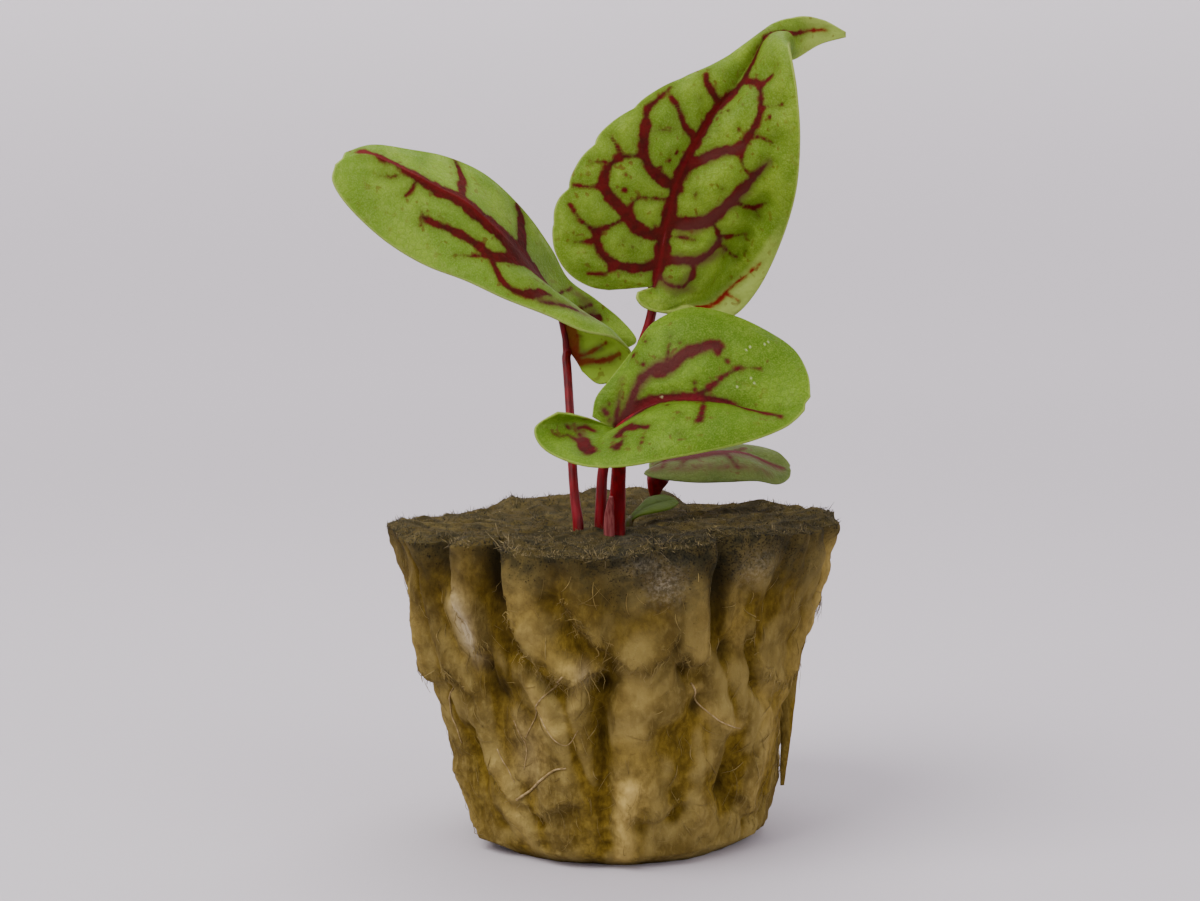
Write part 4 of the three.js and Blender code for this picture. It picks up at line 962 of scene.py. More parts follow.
FRONT_VEINS = [
    (0.9, 1.6, [(0.32, 0.02), (0.356, -0.01), (0.39, -0.01)]),
    (1.6, 0.9, [(0.39, -0.01), (0.42, -0.02), (0.438, -0.03)]),
    (0.85, 0.75, [(0.438, -0.03), (0.468, -0.03), (0.502, -0.02), (0.544, -0.01), (0.602, -0.02)]),
    (0.72, 0.35, [(0.602, -0.02), (0.642, -0.02), (0.7, 0), (0.744, 0.19)]),
    (0.35, 0.3, [(0.744, 0.19), (0.79, 0.45), (0.828, 0.66)]),
    (0.5, 0.55, [(0.336, -0.08), (0.362, -0.15), (0.384, -0.24), (0.406, -0.33)]),
    (0.55, 0.85, [(0.406, -0.33), (0.43, -0.35), (0.458, -0.33)]),
    (1.0, 0.75, [(0.458, -0.33), (0.488, -0.33), (0.516, -0.41), (0.538, -0.48)]),
    (0.85, 0.7, [(0.538, -0.48), (0.558, -0.52), (0.584, -0.58), (0.606, -0.55)]),
    (0.5, 0.3, [(0.598, -0.6), (0.61, -0.5)]),
    (0.3, 0.2, [(0.636, -0.45), (0.642, -0.43)]),
    (0.34, 0.16, [(0.476, -0.4), (0.476, -0.57)]),
    (0.5, 0.3, [(0.596, -0.05), (0.626, -0.16), (0.654, -0.3), (0.682, -0.41)]),
    (0.12, 0.1, [(0.682, -0.42), (0.74, -0.5)]),
    (0.22, 0.5, [(0.614, 0.06), (0.602, 0.25), (0.59, 0.45), (0.582, 0.53)]),
    (0.75, 0.65, [(0.372, 0.48), (0.382, 0.4), (0.398, 0.36)]),
    (0.65, 0.42, [(0.392, 0.38), (0.424, 0.44), (0.452, 0.51)]),
    (0.35, 0.75, [(0.39, 0.62), (0.378, 0.71)]),
    (0.25, 0.2, [(0.364, 0.7), (0.378, 0.72)]),
    (0.8, 1.05, [(0.258, 0.57), (0.275, 0.64), (0.288, 0.69)]),
    (0.85, 0.4, [(0.288, 0.69), (0.305, 0.76), (0.322, 0.75)]),
    (0.25, 0.28, [(0.162, 0.46), (0.156, 0.37), (0.222, 0.31)]),
    (0.3, 0.25, [(0.214, 0.5), (0.226, 0.52)]),
    (0.15, 0.26, [(0.168, 0.77), (0.188, 0.72), (0.192, 0.63)]),
    (0.26, 0.12, [(0.15, 0.58), (0.11, 0.62)]),
    (0.2, 0.3, [(0.204, 0.63), (0.248, 0.61)]),
    (0.3, 0.2, [(0.29, -0.1), (0.3, -0.24), (0.304, -0.33)]),
    (0.6, 0.6, [(0.3, -0.06), (0.335, -0.03)]),
]
SMALL_VEINS = [
    (1.5, 1.3, [(0.125, 0), (0.237, 0.1), (0.329, 0.28), (0.476, 0.21)]),
    (1.3, 0.5, [(0.476, 0.21), (0.583, 0.13), (0.686, 0.2), (0.847, 0.3)]),
    (0.6, 0.3, [(0.245, 0.2), (0.245, 0.62)]),
    (0.4, 0.2, [(0.35, 0.25), (0.328, 0.6)]),
    (0.5, 0.3, [(0.5, 0.2), (0.545, 0.7)]),
    (0.4, 0.2, [(0.35, 0.2), (0.38, -0.4)]),
    (0.4, 0.2, [(0.575, 0.15), (0.62, -0.3)]),
]


def fan_steps(stations):
    """How many steps a blade fans out round one place at its foot"""
    return sum(station[0] == stations[0][0] for station in stations) - 1


def blade_grid(rows, half):
    """Places on a blade: half columns of them on either side of the midrib"""
    return np.meshgrid(np.linspace(0, 1, rows + 1), np.linspace(-1, 1, 2 * half + 1),
                       indexing="ij")


def blade_point(stations, along, across):
    """A place on a blade's middle surface"""
    mids, lefts, rights, depths = (np.array(column, float) for column in zip(*stations))
    last, fan = len(stations) - 1, fan_steps(stations)
    step = along * last
    held = np.maximum(step - fan, 0)
    mid = smooth_line(mids[fan:], held)
    nudge = 0.01
    ahead = smooth_line(mids[fan:], np.minimum(held + nudge, last - fan))
    forwards = ahead - smooth_line(mids[fan:], np.maximum(held - nudge, 0))
    is_left = (across < 0)[..., None]
    edge = np.where(is_left, smooth_line(lefts, step), smooth_line(rights, step))
    depth = smooth_line(depths, step)
    towards = np.where(is_left, mid - edge, edge - mid)
    up = unit(np.cross(towards, forwards))
    share = np.abs(across)
    arch = 4 * share * (1 - share)
    crease = depth[..., 2] * np.exp(-(((share - CREASE_PLACE) / CREASE_WIDTH) ** 2))
    lift = np.where(across < 0, depth[..., 0] * arch, depth[..., 1] * arch - crease)
    return mid + (edge - mid) * share[..., None] + up * lift[..., None]


def facing_of(stations):
    """Which way the upper face looks, averaged over a little room so that it turns slowly"""
    along, across = blade_grid(60, 12)
    grid = blade_point(stations, along, across)
    centres = (grid[:-1, :-1] + grid[1:, :-1] + grid[:-1, 1:] + grid[1:, 1:]) / 4
    normals = np.cross(grid[1:, 1:] - grid[:-1, :-1], grid[1:, :-1] - grid[:-1, 1:])
    apart = ((grid.reshape(-1, 1, 3) - centres.reshape(-1, 3)) ** 2).sum(-1)
    mean = np.exp(-apart / FACING_REACH**2) @ normals.reshape(-1, 3)
    return unit(mean).reshape(grid.shape)


def spread(coarse, along, across):
    """Values of a coarse grid at finer places"""
    rows, columns = coarse.shape[0] - 1, coarse.shape[1] - 1
    row, column = along * rows, (across + 1) / 2 * columns
    r, c = np.minimum(row.astype(int), rows - 1), np.minimum(column.astype(int), columns - 1)
    dr, dc = (row - r)[..., None], (column - c)[..., None]
    low = coarse[r, c] * (1 - dc) + coarse[r, c + 1] * dc
    high = coarse[r + 1, c] * (1 - dc) + coarse[r + 1, c + 1] * dc
    return low * (1 - dr) + high * dr


POINTS_AT_ONCE = 4000  # keeps the table of distances small


def nearest(points, spots, reaches, starts=(0,)):
    """Distance from each point to the edge of the nearest spot, each spot having its reach. The
    spots come in runs, and the gaps where runs meet are webbed over"""
    best = []
    for start in range(0, len(points), POINTS_AT_ONCE):
        part = points[start:start + POINTS_AT_ONCE]
        apart = np.sqrt(((part[:, None] - spots[None]) ** 2).sum(-1)) - reaches
        runs = np.minimum.reduceat(apart, starts, axis=1)
        closest = runs.min(1)
        joined = np.exp((closest[:, None] - runs) / WEB_SIZE).sum(1)
        best.append(closest - WEB_SIZE * np.log(joined))
    return np.concatenate(best)


VEIN_SWELLINGS = 0.22  # share by which a vein's width wavers


def vein_spots(stations, veins, swell):
    """Spots along the veins with half the vein's width at each, and where each vein starts"""
    spots, reaches, starts = [], [], []
    for number, (start_width, end_width, route) in enumerate(veins):
        steps = steps_along(route, 16)
        along, across = smooth_line(route, steps).T
        spot = blade_point(stations, np.clip(along, 0, 1), np.clip(across, -1, 1))
        width = swell * np.interp(steps / steps[-1], [0, 1], [start_width, end_width])
        width = width * (1 + VEIN_SWELLINGS * soft_noise(spot + number, 1.1, seed=91))
        starts.append(sum(map(len, spots)))
        spots.append(spot)
        reaches.append(width / 2)
    return np.concatenate(spots), np.concatenate(reaches), starts


def shaded(tone, strength):
    """A linear colour made darker or brighter"""
    return (*(strength * value for value in tone[:3]), 1)


def leaf_material(name, young_green, full_green, margin_green, vein_red, under_green, blur=0.2,
                  fray=0.15, netted=0.42):
    """blur and fray are how softly and how raggedly a vein ends in the green, in millimetres"""
    leaf = Finish(name)
    vein_edge, core, margin, under, flare, haze, speck = leaf.marks(
        "vein_edge core margin under flare haze speck")
    ragged = leaf.noise(1.1, 3, roughness=0.55)
    mottle = leaf.noise(1.1, 3, roughness=0.6)
    grain = leaf.noise(0.16, 3, roughness=0.6)
    net, fine_net = leaf.cells(0.8), leaf.cells(0.34)
    edge = leaf.plus(vein_edge, leaf.step(ragged, 0.28, 0.72, -fray, fray))
    vein = leaf.step(edge, blur, -blur)
    dark_red = shaded(vein_red, 0.5)
    green = leaf.mix(leaf.step(leaf.noise(6, 3), 0.35, 0.65), full_green, young_green)
    green = leaf.layers(green, [
        (leaf.step(mottle, 0.45, 0.72, 0, 0.16), margin_green),
        # painted shade: darker green in the quilted valleys along the veins
        (leaf.step(vein_edge, 1.3, 0.0, 0, 0.6), full_green),
        (leaf.step(net, 0.11, 0.02, 0, netted), full_green),
        (leaf.step(fine_net, 0.14, 0.03, 0, 0.22), full_green),
        (leaf.step(grain, 0.42, 0.66, 0, 0.26), margin_green),
        # the flare, painted light, and the tip from pale_from are paler
        (leaf.times(flare, 0.75), margin_green),
        (leaf.step(margin, 0.26, 0.04, 0, 0.7), margin_green),
        # the underside is paler, and brighter still as painted light coming through the blade
        (leaf.times(under, 0.85), under_green),
        (leaf.step(edge, 0.8, 0.0, 0, 0.32), leaf.mix(0.45, full_green, dark_red)),
        # painted sheen: a purple haze over shaded parts of the green
        (leaf.times(haze, leaf.step(mottle, 0.3, 0.62, 0.3, 0.95)),
         leaf.mix(0.22, colour(84, 30, 40), young_green)),
    ])
    red = leaf.layers(vein_red, [
        (leaf.step(ragged, 0.3, 0.7), dark_red),
        # painted highlight along the middle of the midrib
        (leaf.times(core, 0.55), shaded(vein_red, 1.7)),
        # painted sheen: veins under a haze turn purple-brown
        (leaf.times(haze, 0.8), colour(82, 38, 36)),
        # painted light: brighter red veins on the flare, the pale tip and the underside
        (leaf.math("MAXIMUM", flare, under), colour(124, 10, 12)),
    ])
    near_vein = leaf.step(vein_edge, 2.6, 0.2, 0.3, 1.0)
    dotted = leaf.times(leaf.step(leaf.noise(2.4, 2), 0.46, 0.6), near_vein)
    dots = leaf.times(leaf.step(leaf.noise(0.62, 0), 0.64, 0.72), dotted)
    strength = leaf.math("SUBTRACT", 0.97, leaf.times(under, 0.17))
    paint = leaf.layers(green, [
        (leaf.times(dots, 0.6), vein_red),
        (leaf.times(vein, strength), red),
        (speck, colour(186, 194, 136)),
    ])
    gloss = {"Roughness": leaf.step(vein, 0.0, 1.0, 0.46, 0.6), "Specular IOR Level": 0.08}
    relief = leaf.plus(leaf.step(net, 0.0, 0.25), leaf.times(grain, 1.2))
    glow = leaf.mix(0.5, paint, leaf.mix(vein, colour(152, 174, 36), colour(96, 0, 6)))
    return leaf.finish(paint, gloss, relief, depth=0.024, glow=glow, glow_share=0.36)


EDGE_WAVES = 13  # how many rounded scallops the edge of a leaf has from its foot to its tip
QUILT_REACH = 1.3  # how far from a vein the leaf has puffed up
WAVE_HEIGHT = 0.14
WAVE_SIZE = 3.2
FLARE_CREASE = 0.35
RIB_HEIGHT = 0.12
RIB_REACH = 0.35
SPECK_SIZE = 0.12
DOT_SIZE = 0.17


def blade_faces(rows, columns, pinched):
    """Faces of an upper and a lower sheet that share their outline. The rows in pinched start
    from one place in the middle"""
    size, half = rows * columns, columns // 2
    upper = np.arange(size).reshape(rows, columns)
    upper[pinched, half] = upper[0, half]
    lower = upper.copy()
    lower[1:-1, 1:-1] += size
    lower[pinched, half] = upper[0, half]
    faces = []
    for index, turned in ((upper, 1), (lower, -1)):
        quads = np.stack([index[:-1, :-1], index[:-1, 1:], index[1:, 1:], index[1:, :-1]], -1)
        for face in quads.reshape(-1, 4)[:, ::turned].tolist():
            corners = list(dict.fromkeys(face))
            if len(corners) > 2:
                faces.append(corners)
    return faces


def build_blade(name, stations, size, veins, material, slot_name, replaced, quilt, swell=1.5,
                flare_line=None, hazes=(), specks=(), ripple=0.0, dots=(), pale_from=1):
    """quilt is how high the leaf puffs up between its veins, and swell widens the veins. The
    flare, outside the flare line, is painted light: paler green with brighter veins. The hazes
    are soft purple strokes of painted sheen, given like veins, the specks are pale and the dots
    red. The ripple is how deep the left edge is scalloped, as a share of the half width. From
    pale_from on the blade is pale to its tip"""
    rows, half = size
    along, across = blade_grid(rows, half)
    dents = (1 - np.abs(np.sin(np.pi * EDGE_WAVES * along))) ** 1.5
    wave = -ripple * np.minimum(across, 0) ** 6 * dents
    wave *= smooth_step(0.25, 0.42, along) * smooth_step(1, 0.88, along)
    middle = blade_point(stations, along, across * (1 + wave))
    up = unit(spread(facing_of(stations), along, across))
    flat = middle.reshape(-1, 3)

    def distance_to(*spots):
        return nearest(flat, *spots).reshape(along.shape)

    vein_edge = distance_to(*vein_spots(stations, veins, swell))
    # The midrib's painted highlight runs along its middle
    centre, _, _ = vein_spots(stations, [(0, 0, route) for _, _, route in veins[:3]], 1)
    core = np.exp(-((distance_to(centre, 0) / CORE_WIDTH) ** 2))
    margin = distance_to(np.concatenate([middle[0], middle[-1], middle[:, 0], middle[:, -1]]), 0)
    inside = smooth_step(0, 1, margin)
    beside = np.maximum(vein_edge, 0)
    puff = quilt * (1 - np.exp(-((beside / QUILT_REACH) ** 2))) * smooth_step(0, 1.6, margin)
    waves = WAVE_HEIGHT * soft_noise(middle, WAVE_SIZE, seed=95) * smooth_step(0, 2, margin)
    flare, haze, speck = np.zeros((3, *along.shape))
    if flare_line:
        line_along, line_across = np.array(flare_line).T
        beyond = across - np.interp(along, line_along, line_across)
        fading = smooth_step(line_along[-1], line_along[-3], along)
        flare = smooth_step(-0.01, 0.03, beyond) * fading
        waves -= FLARE_CREASE * np.exp(-((beyond / 0.035) ** 2)) * inside * fading
    flare = np.maximum(flare, 0.8 * smooth_step(pale_from, pale_from + 0.06, along))
    if hazes:
        haze = smooth_step(0.7, -0.5, distance_to(*vein_spots(stations, hazes, 1)))
    if specks:
        spots = blade_point(stations, *np.array(specks, float).T)
        speck = 0.75 * smooth_step(1.4, 0.5, distance_to(spots, 0) / SPECK_SIZE)
    if dots:
        spots = blade_point(stations, *np.array(dots, float).T)
        reaches = DOT_SIZE * (1 + 0.5 * np.sin(5 * np.arange(len(dots))))
        painted_edge = np.minimum(vein_edge, distance_to(spots, reaches))
    else:
        painted_edge = vein_edge
    middle = middle + up * (puff + waves)[..., None]
    rounded = np.clip(margin / EDGE_ROUNDING, 0, 1)
    half_thick = BLADE_THICKNESS / 2 * np.sqrt(1 - (1 - rounded) ** 2)
    rib = RIB_HEIGHT * np.exp(-((beside / RIB_REACH) ** 2)) * inside
    upper = middle + up * half_thick[..., None]
    lower = middle - up * (half_thick + rib)[..., None]
    pinched = np.linalg.norm(middle[:, half] - middle[0, half], axis=1) < 1e-6
    faces = blade_faces(rows + 1, 2 * half + 1, pinched)
    points = np.concatenate([upper.reshape(-1, 3), lower.reshape(-1, 3)])
    used = np.unique(np.concatenate(faces))
    place = np.full(len(points), -1)
    place[used] = np.arange(len(used))
    marks = {
        "vein_edge": painted_edge, "core": core, "margin": margin, "flare": flare,
        "haze": haze, "speck": speck,
    }
    marks = {mark: np.tile(values.ravel(), 2)[used] for mark, values in marks.items()}
    marks["under"] = np.repeat([0.0, 1.0], len(flat))[used]
    faces = [place[face].tolist() for face in faces]
    make_piece(name, points[used], faces, marks, material, slot_name, replaced)


full_leaf = leaf_material("full_leaf", colour(120, 146, 40), colour(86, 116, 24),
                          colour(162, 178, 88), colour(88, 0, 12), colour(156, 176, 64))
# Painted light: the left leaf's colours, lighter, as it faces up into the light
lit_leaf = leaf_material("lit_leaf", colour(130, 160, 50), colour(100, 134, 34),
                           colour(170, 186, 100), colour(94, 2, 16), colour(156, 192, 60))
# Painted shade: the front leaf's colours, darker, as the front leaf stands in shade
shaded_leaf = leaf_material("shaded_leaf", colour(102, 134, 30), colour(74, 106, 18),
                          colour(152, 172, 76), colour(86, 6, 20), colour(138, 162, 50),
                          blur=0.24, netted=0.5)
young_leaf = leaf_material("unfolding_leaf", colour(98, 110, 54), colour(78, 92, 42),
                           colour(126, 140, 82), colour(88, 22, 30), colour(112, 122, 60),
                           blur=0.4)
detail = 1


def grid_size(rows, half):
    return round(rows * detail), round(half * detail)


# The flare line of the tall leaf: outside it the blade is painted light
TALL_FLARE = [(0.16, 1.1), (0.2, 0.9), (0.25, 0.8), (0.3, 0.78), (0.36, 0.79), (0.41, 0.84),
              (0.46, 0.89), (0.52, 0.95)]
# Hazes: soft purple strokes of painted sheen over shaded parts, given like veins
TALL_HAZES = [
    (1.4, 1.0, [(0.36, 0.17), (0.376, 0.24), (0.4, 0.31), (0.444, 0.42), (0.49, 0.55)]),
    (1.0, 0.9, [(0.31, 0.24), (0.34, 0.4), (0.4, 0.6)]),
    (0.6, 0.6, [(0.23, 0.25), (0.25, 0.5), (0.3, 0.6)]),
    (0.9, 0.6, [(0.48, 0.12), (0.502, 0.22), (0.53, 0.38)]),
    (0.5, 0.4, [(0.5, 0.55), (0.53, 0.62), (0.545, 0.68)]),
    (0.8, 0.7, [(0.31, 0.26), (0.332, 0.35), (0.364, 0.45), (0.4, 0.5)]),
    (0.5, 0.5, [(0.24, 0.2), (0.26, 0.45), (0.31, 0.45)]),
]
SMALL_HAZES = [
    (1.6, 1.2, [(0.1, 0.1), (0.3, 0.3), (0.5, 0.3), (0.8, 0.35)]),
    (1.0, 0.8, [(0.2, 0.7), (0.45, 0.7), (0.7, 0.75)]),
]
FRONT_HAZES = [
    (1.2, 1.6, [(0.34, -0.1), (0.38, -0.24), (0.43, -0.35), (0.48, -0.34)]),
    (1.6, 0.6, [(0.48, -0.34), (0.53, -0.46), (0.6, -0.56)]),
    (0.5, 0.5, [(0.3, -0.2), (0.304, -0.4), (0.312, -0.55)]),
    (0.7, 0.5, [(0.16, 0.5), (0.22, 0.45), (0.24, 0.6)]),
    (0.4, 0.4, [(0.11, -0.57), (0.116, -0.47)]),
    (0.6, 0.6, [(0.26, -0.15), (0.18, -0.22), (0.1, -0.3)]),
    (0.6, 0.4, [(0.34, 0.05), (0.38, 0.1), (0.4, 0.03)]),
]
LEFT_HAZES = [
    (0.8, 0.8, [(0.44, 0), (0.52, 0), (0.6, 0)]),
    (1.0, 0.8, [(0.49, -0.75), (0.44, -0.65), (0.38, -0.6), (0.33, -0.65)]),
    (1.2, 1.0, [(0.3, 0.3), (0.34, 0.7), (0.42, 0.75)]),
    (1.6, 1.2, [(0.02, -0.3), (0.08, -0.25), (0.16, -0.08)]),
    (0.7, 0.5, [(0.05, -0.38), (0.118, -0.43), (0.198, -0.73)]),
    (0.8, 0.5, [(0.05, -0.15), (0.14, -0.3), (0.22, -0.5)]),
]
TALL_DOTS = [
    (0.284, -0.3), (0.296, -0.23), (0.292, -0.4), (0.468, -0.19), (0.438, -0.26), (0.452, -0.22),
    (0.526, 0.11), (0.554, 0.06), (0.566, 0.12), (0.42, 0.15), (0.462, 0.34), (0.504, -0.42),
    (0.42, -0.56), (0.392, -0.51), (0.356, -0.08), (0.572, -0.35), (0.64, -0.45), (0.55, 0.3),
    (0.33, -0.12), (0.6, 0.6), (0.43, 0.8),
]
FRONT_DOTS = [
    (0.472, -0.66), (0.502, -0.57), (0.4, -0.74), (0.356, -0.7), (0.404, -0.48), (0.502, 0.17),
    (0.54, 0.4), (0.53, 0.72), (0.574, -0.16), (0.578, -0.1), (0.578, 0.55), (0.444, 0.66),
    (0.44, 0.74), (0.11, -0.55), (0.116, -0.47), (0.17, -0.54), (0.32, 0.69),
]
FRONT_SPECKS = [(0.476, -0.05), (0.746, -0.3), (0.728, -0.34), (0.724, -0.83), (0.716, -0.78),
                (0.676, -0.62), (0.684, -0.67), (0.7, -0.2)]
build_blade("tall_leaf", TALL_BLADE, grid_size(225, 88), TALL_VEINS, full_leaf, "veined_leaf",
            "tall_leaf_blade", quilt=0.5, swell=1.25, flare_line=TALL_FLARE, hazes=TALL_HAZES,
            ripple=0.045, dots=TALL_DOTS, pale_from=0.84)
build_blade("left_leaf", LEFT_BLADE, grid_size(190, 78), LEFT_VEINS, lit_leaf, "veined_leaf",
            "left_leaf_blade", quilt=0.2, swell=1.85, hazes=LEFT_HAZES)
build_blade("front_leaf", FRONT_BLADE, grid_size(180, 74), FRONT_VEINS, shaded_leaf, "veined_leaf",
            "front_leaf_blade", quilt=0.22, swell=1.6, hazes=FRONT_HAZES, specks=FRONT_SPECKS,
            dots=FRONT_DOTS)
build_blade("small_leaf", SMALL_BLADE, grid_size(90, 40), SMALL_VEINS, young_leaf, "young_leaf",
            "small_leaf_blade", quilt=0.12, swell=1.3, hazes=SMALL_HAZES)

# Leaf stalks: juicy crimson stems that stand in the wool and run on under each blade as its
# keel, thinning out towards the tip.

TALL_STALK = [
    ((-1.6, -4, 35.7), 0.65), ((-1.4, -4, 38.8), 0.62), ((-1.1, -4.2, 42.2), 0.6),
    ((0, -5, 46.7), 0.58), ((2.3, -6.6, 53.5), 0.55), ((4.2, -7.5, 58.4), 0.55),
    ((4.9, -7.7, 61.8), 0.55),
]
LEFT_STALK = [
    ((-4, -4.5, 35.7), 0.62), ((-4.3, -4, 38.8), 0.56), ((-4.5, -3.2, 42.1), 0.52),
    ((-4.7, -1, 48.5), 0.5), ((-4.9, 0.7, 52.8), 0.5), ((-5, 1.4, 54.3), 0.5),
]
FRONT_STALK = [
    ((0.3, -6, 35.7), 0.95), ((0.4, -6.6, 39.1), 0.88), ((0.6, -8, 42.6), 0.8),
    ((0.7, -9.8, 45), 0.75), ((0.5, -12, 46.6), 0.7),
]
SMALL_STALK = [
    ((4.8, 11, 35.7), 0.45), ((4.9, 10.7, 37.1), 0.55), ((5, 10.1, 38.3), 0.95),
    ((5.3, 9.6, 39.4), 1.35), ((5.6, 9.4, 40), 1.2), ((6.3, 9.4, 40.5), 0.6),
]
SEED_STALK = [((1.7, -1, 35.4), 0.45), ((1.9, -0.9, 36), 0.4), ((2.1, -0.8, 36.4), 0.35)]
ROOTED_DEPTH = 5
STALK_SIDES = 24
KEEL_STATIONS = 7
KEEL_END_RADIUS = 0.14


def stalk_material(name, dark, light, cloudy):
    stalk = Finish(name)
    streaks = stalk.noise(0.5, 3, (1, 1, 0.12))
    red = stalk.layers(dark, [
        (stalk.step(streaks, 0.35, 0.7), light),
        (stalk.step(stalk.noise(4, 2), 0.55, 0.75, 0, 0.4), cloudy),
    ])
    juicy = {
        "Roughness": 0.4, "Specular IOR Level": 0.22, "Subsurface Weight": 0.12,
        "Subsurface Scale": 0.8 * MM,
    }
    return stalk.finish(red, juicy, relief=streaks, depth=0.06)


def build_stalk(leaf, points, material, stations=None, keel_end=0):
    """The keel runs on under the blade with these stations, as far along it as keel_end"""
    route = [at for at, _ in points]
    radii = [radius for _, radius in points]
    route.insert(0, (*route[0][:2], route[0][2] - ROOTED_DEPTH))
    radii.insert(0, radii[0])
    if keel_end:
        ups = facing_of(stations)
        start, end_radius = fan_steps(stations) / (len(stations) - 1), radii[-1]
        for share in np.linspace(0.0, keel_end, KEEL_STATIONS):
            along, across = np.array([start + share * (1 - start)]), np.zeros(1)
            radius = max(end_radius * (1 - share / keel_end) ** 0.8, KEEL_END_RADIUS)
            mid = blade_point(stations, along, across)[0]
            up = unit(spread(ups, along, across))[0]
            route.append(tuple(mid - up * (BLADE_THICKNESS / 2 + 0.35 * radius)))
            radii.append(radius)
    steps = steps_along(route, 14)
    line = smooth_line(route, steps)
    thick = smooth_line(np.array(radii)[:, None], steps)[:, 0]
    thick = thick * (1 + 0.05 * soft_noise(line, 3, seed=97))
    places_on, faces = tubes(line[None], thick[None], STALK_SIDES)
    make_piece(f"{leaf}_stalk", places_on, faces, {}, material, "red_stalk", f"{leaf}_leaf_stalk")


crimson = stalk_material("crimson_stalk", colour(78, 0, 5), colour(116, 0, 13),
                         colour(124, 20, 34))
olive = stalk_material("olive_stalk", colour(44, 40, 10), colour(58, 62, 18), colour(70, 40, 20))
build_stalk("tall", TALL_STALK, crimson, TALL_BLADE, keel_end=0.6)
build_stalk("left", LEFT_STALK, crimson, LEFT_BLADE, keel_end=0.75)
build_stalk("front", FRONT_STALK, crimson, FRONT_BLADE, keel_end=0.6)
build_stalk("small", SMALL_STALK, crimson)
build_stalk("seed", SEED_STALK, olive)

# The seed leaf and the sheath: a small dark green spoon left over from sprouting lies on the
# wool, and a thin dry papery scale stands in front of the middle stalks.

SEED_LEAF = [
    ((1.7, -1.0, 35.9), (1.5, -0.7, 35.9), (1.9, -1.3, 35.9), (0, 0, 0)),
    ((2.4, -0.8, 36.5), (2.1, -0.2, 36.6), (2.8, -1.3, 36.5), (0, 0, 0)),
    ((3.4, 0, 37), (3, 1.1, 37.3), (3.9, -1.1, 36.7), (0.1, 0.1, 0)),
    ((4.6, 0.7, 37.4), (4, 2.4, 38), (5.2, -1, 36.9), (0.2, 0.2, 0)),
    ((6, 1.6, 37.6), (5.6, 3.2, 38.2), (6.6, 0.1, 37.1), (0.1, 0.1, 0)),
    ((7.3, 2.7, 37.6), (7, 3.2, 37.8), (7.5, 2.2, 37.4), (0, 0, 0)),
]
SHEATH = [
    ((-0.6, -7.6, 32.5), (-1.1, -7.6, 32.5), (-0.1, -7.6, 32.5), (0, 0, 0)),
    ((-0.6, -7.6, 35.5), (-1.2, -7.5, 35.5), (0, -7.6, 35.5), (0, 0, 0)),
    ((-0.5, -7.8, 37.4), (-1.1, -7.5, 37.4), (0, -8, 37.4), (0, 0, 0)),
    ((-0.4, -8.2, 38.8), (-0.8, -8, 38.8), (0, -8.4, 38.8), (0, 0, 0)),
    ((-0.3, -8.6, 39.8), (-0.5, -8.5, 39.8), (-0.1, -8.7, 39.8), (0, 0, 0)),
]
SEED_VEINS = [(0.5, 0.2, [(0, 0), (0.4, 0), (0.8, 0)])]


def sheath_material():
    paper = Finish("dry_sheath")
    streaks = paper.step(paper.noise(0.3, 3, (1, 1, 0.1)), 0.35, 0.65)
    pink = paper.mix(streaks, colour(122, 40, 44), colour(158, 82, 80))
    return paper.finish(pink, {"Roughness": 0.6}, glow=pink, glow_share=0.4)


seed_green = leaf_material("seed_leaf", colour(74, 90, 26), colour(58, 74, 18),
                           colour(88, 106, 42), colour(54, 68, 18), colour(70, 90, 30))
build_blade("seed_leaf", SEED_LEAF, grid_size(50, 22), SEED_VEINS, seed_green, "seed_leaf",
            "seed_leaf_blade", quilt=0.02)
build_blade("papery_scale", SHEATH, grid_size(50, 10), SEED_VEINS, sheath_material(),
            "dry_sheath", "papery_sheath", quilt=0)

# The studio: a pale tent whose floor rises into its walls, with soft light from large panels, and
# painted light where its cloth glows, more away from the plug; its floor is darker than its walls.
# The camera looks level with the leaves and a little down.

TENT_FLOOR = 700
TENT_CURVE = 500
TENT_HEIGHT = 1500
TENT_SIDES = 96
TENT_GLOW = 0.62
GLOW_START, GLOW_FULL = 0.25, 0.8  # distance from the plug in metres


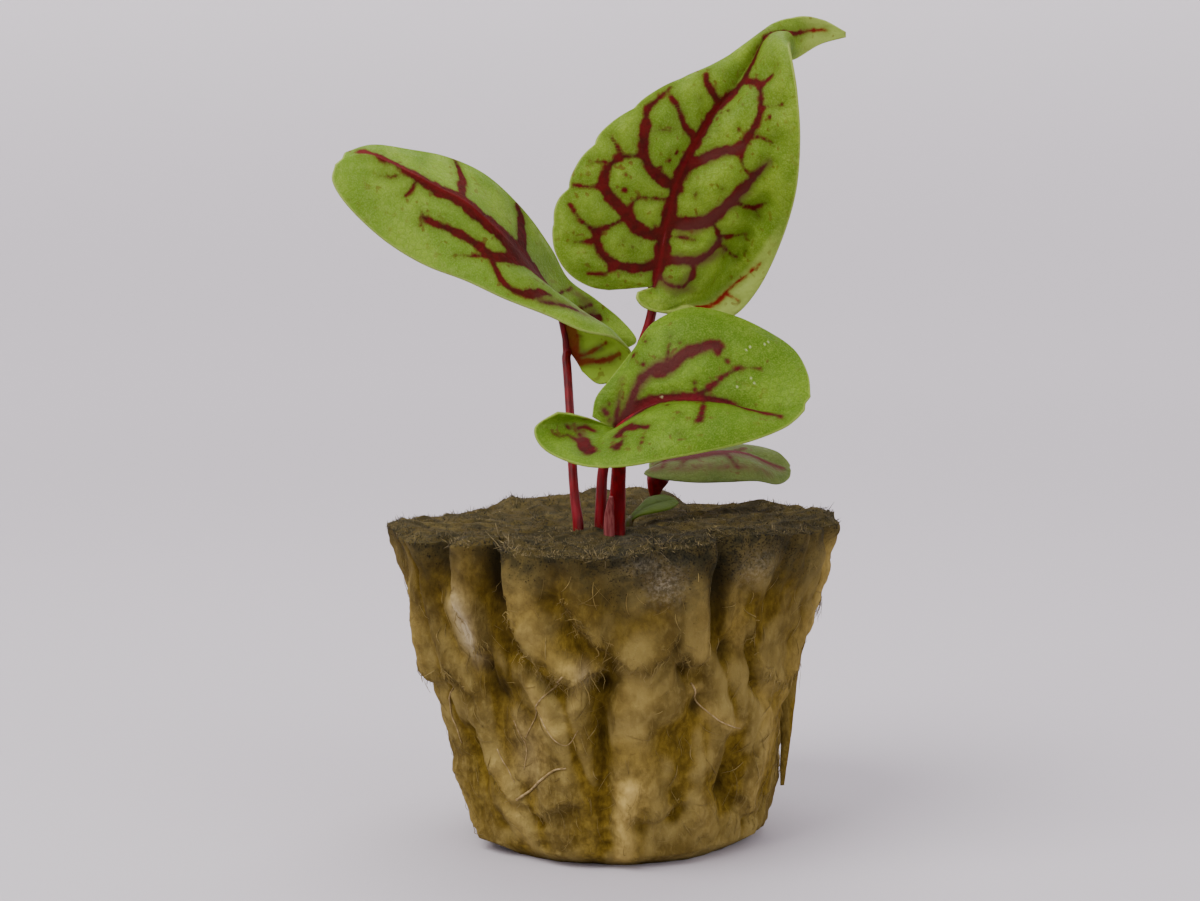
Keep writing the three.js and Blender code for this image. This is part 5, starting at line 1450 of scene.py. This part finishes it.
def build_tent():
    bend = np.linspace(0, np.pi / 2, 25)
    radius = [1, *(TENT_FLOOR + TENT_CURVE * np.sin(bend)), TENT_FLOOR + TENT_CURVE]
    level = [0, *(TENT_CURVE * (1 - np.cos(bend))), TENT_HEIGHT]
    turns = np.arange(TENT_SIDES) * FULL_TURN / TENT_SIDES
    points = np.concatenate([on_cone(turns, r, z) for r, z in zip(radius, level)])
    faces = [*ring_quads(len(radius), TENT_SIDES).tolist(), list(range(TENT_SIDES))]
    cloth = Finish("tent_cloth")
    height = cloth.add("SeparateXYZ", {0: cloth.place}).outputs["Z"]
    distance = cloth.add("VectorMath", {0: cloth.place}, operation="LENGTH").outputs["Value"]
    pale = cloth.mix(cloth.step(height, 0.0, 0.35), colour(176, 171, 176), colour(222, 217, 221))
    material = cloth.finish(pale, {
        "Roughness": 0.9, "Emission Color": pale,
        "Emission Strength": cloth.step(distance, GLOW_START, GLOW_FULL, 0, TENT_GLOW),
    })
    tent = new_object("studio_tent", points, faces, material)


build_tent()

# Panels of light: place, width, power in watts and tint
PANELS = {
    "key_panel": ((-380, -320, 640), 600, 8.4, (1, 0.985, 0.97)),
    "fill_panel": ((480, -420, 300), 560, 2.0, (0.96, 0.97, 1)),
    "top_panel": ((60, 300, 760), 640, 4.0, (1, 1, 1)),
}
PANEL_AIM = (0, 0, 50)
AIR_STRENGTH = 0.85

for name, (place, width, power, tint) in PANELS.items():
    light = bpy.data.lights.new(name, "AREA")
    light.shape = "DISK"
    light.size = width * MM
    light.energy = power
    light.color = tint
    panel = bpy.data.objects.new(name, light)
    panel.location = Vector(place) * MM
    aim = Vector(PANEL_AIM) * MM - panel.location
    panel.rotation_euler = aim.to_track_quat("-Z", "Y").to_euler()
    panel.visible_camera = False
    bpy.context.collection.objects.link(panel)

world = bpy.data.worlds.new("studio_air")
bpy.context.scene.world = world
world.use_nodes = True
air = world.node_tree.nodes["Background"].inputs
air["Color"].default_value = colour(214, 210, 216)
air["Strength"].default_value = AIR_STRENGTH

CAMERA_PLACE = (-1.41, -270, 73.9)
CAMERA_PITCH = 0.1107  # radians down
CAMERA_ROLL = 0.0212
FOCAL_PIXELS = 2403
PHOTO_WIDTH = 1200
SENSOR_WIDTH = 36

camera = bpy.data.objects.new("camera", bpy.data.cameras.new("camera"))
camera.data.sensor_width = SENSOR_WIDTH
camera.data.lens = FOCAL_PIXELS / PHOTO_WIDTH * SENSOR_WIDTH
camera.data.clip_start = 0.01
camera.matrix_world = (Matrix.Translation(Vector(CAMERA_PLACE) * MM)
                       @ Matrix.Rotation(np.pi / 2 - CAMERA_PITCH, 4, "X")
                       @ Matrix.Rotation(-CAMERA_ROLL, 4, "Z"))
bpy.context.collection.objects.link(camera)
bpy.context.scene.camera = camera
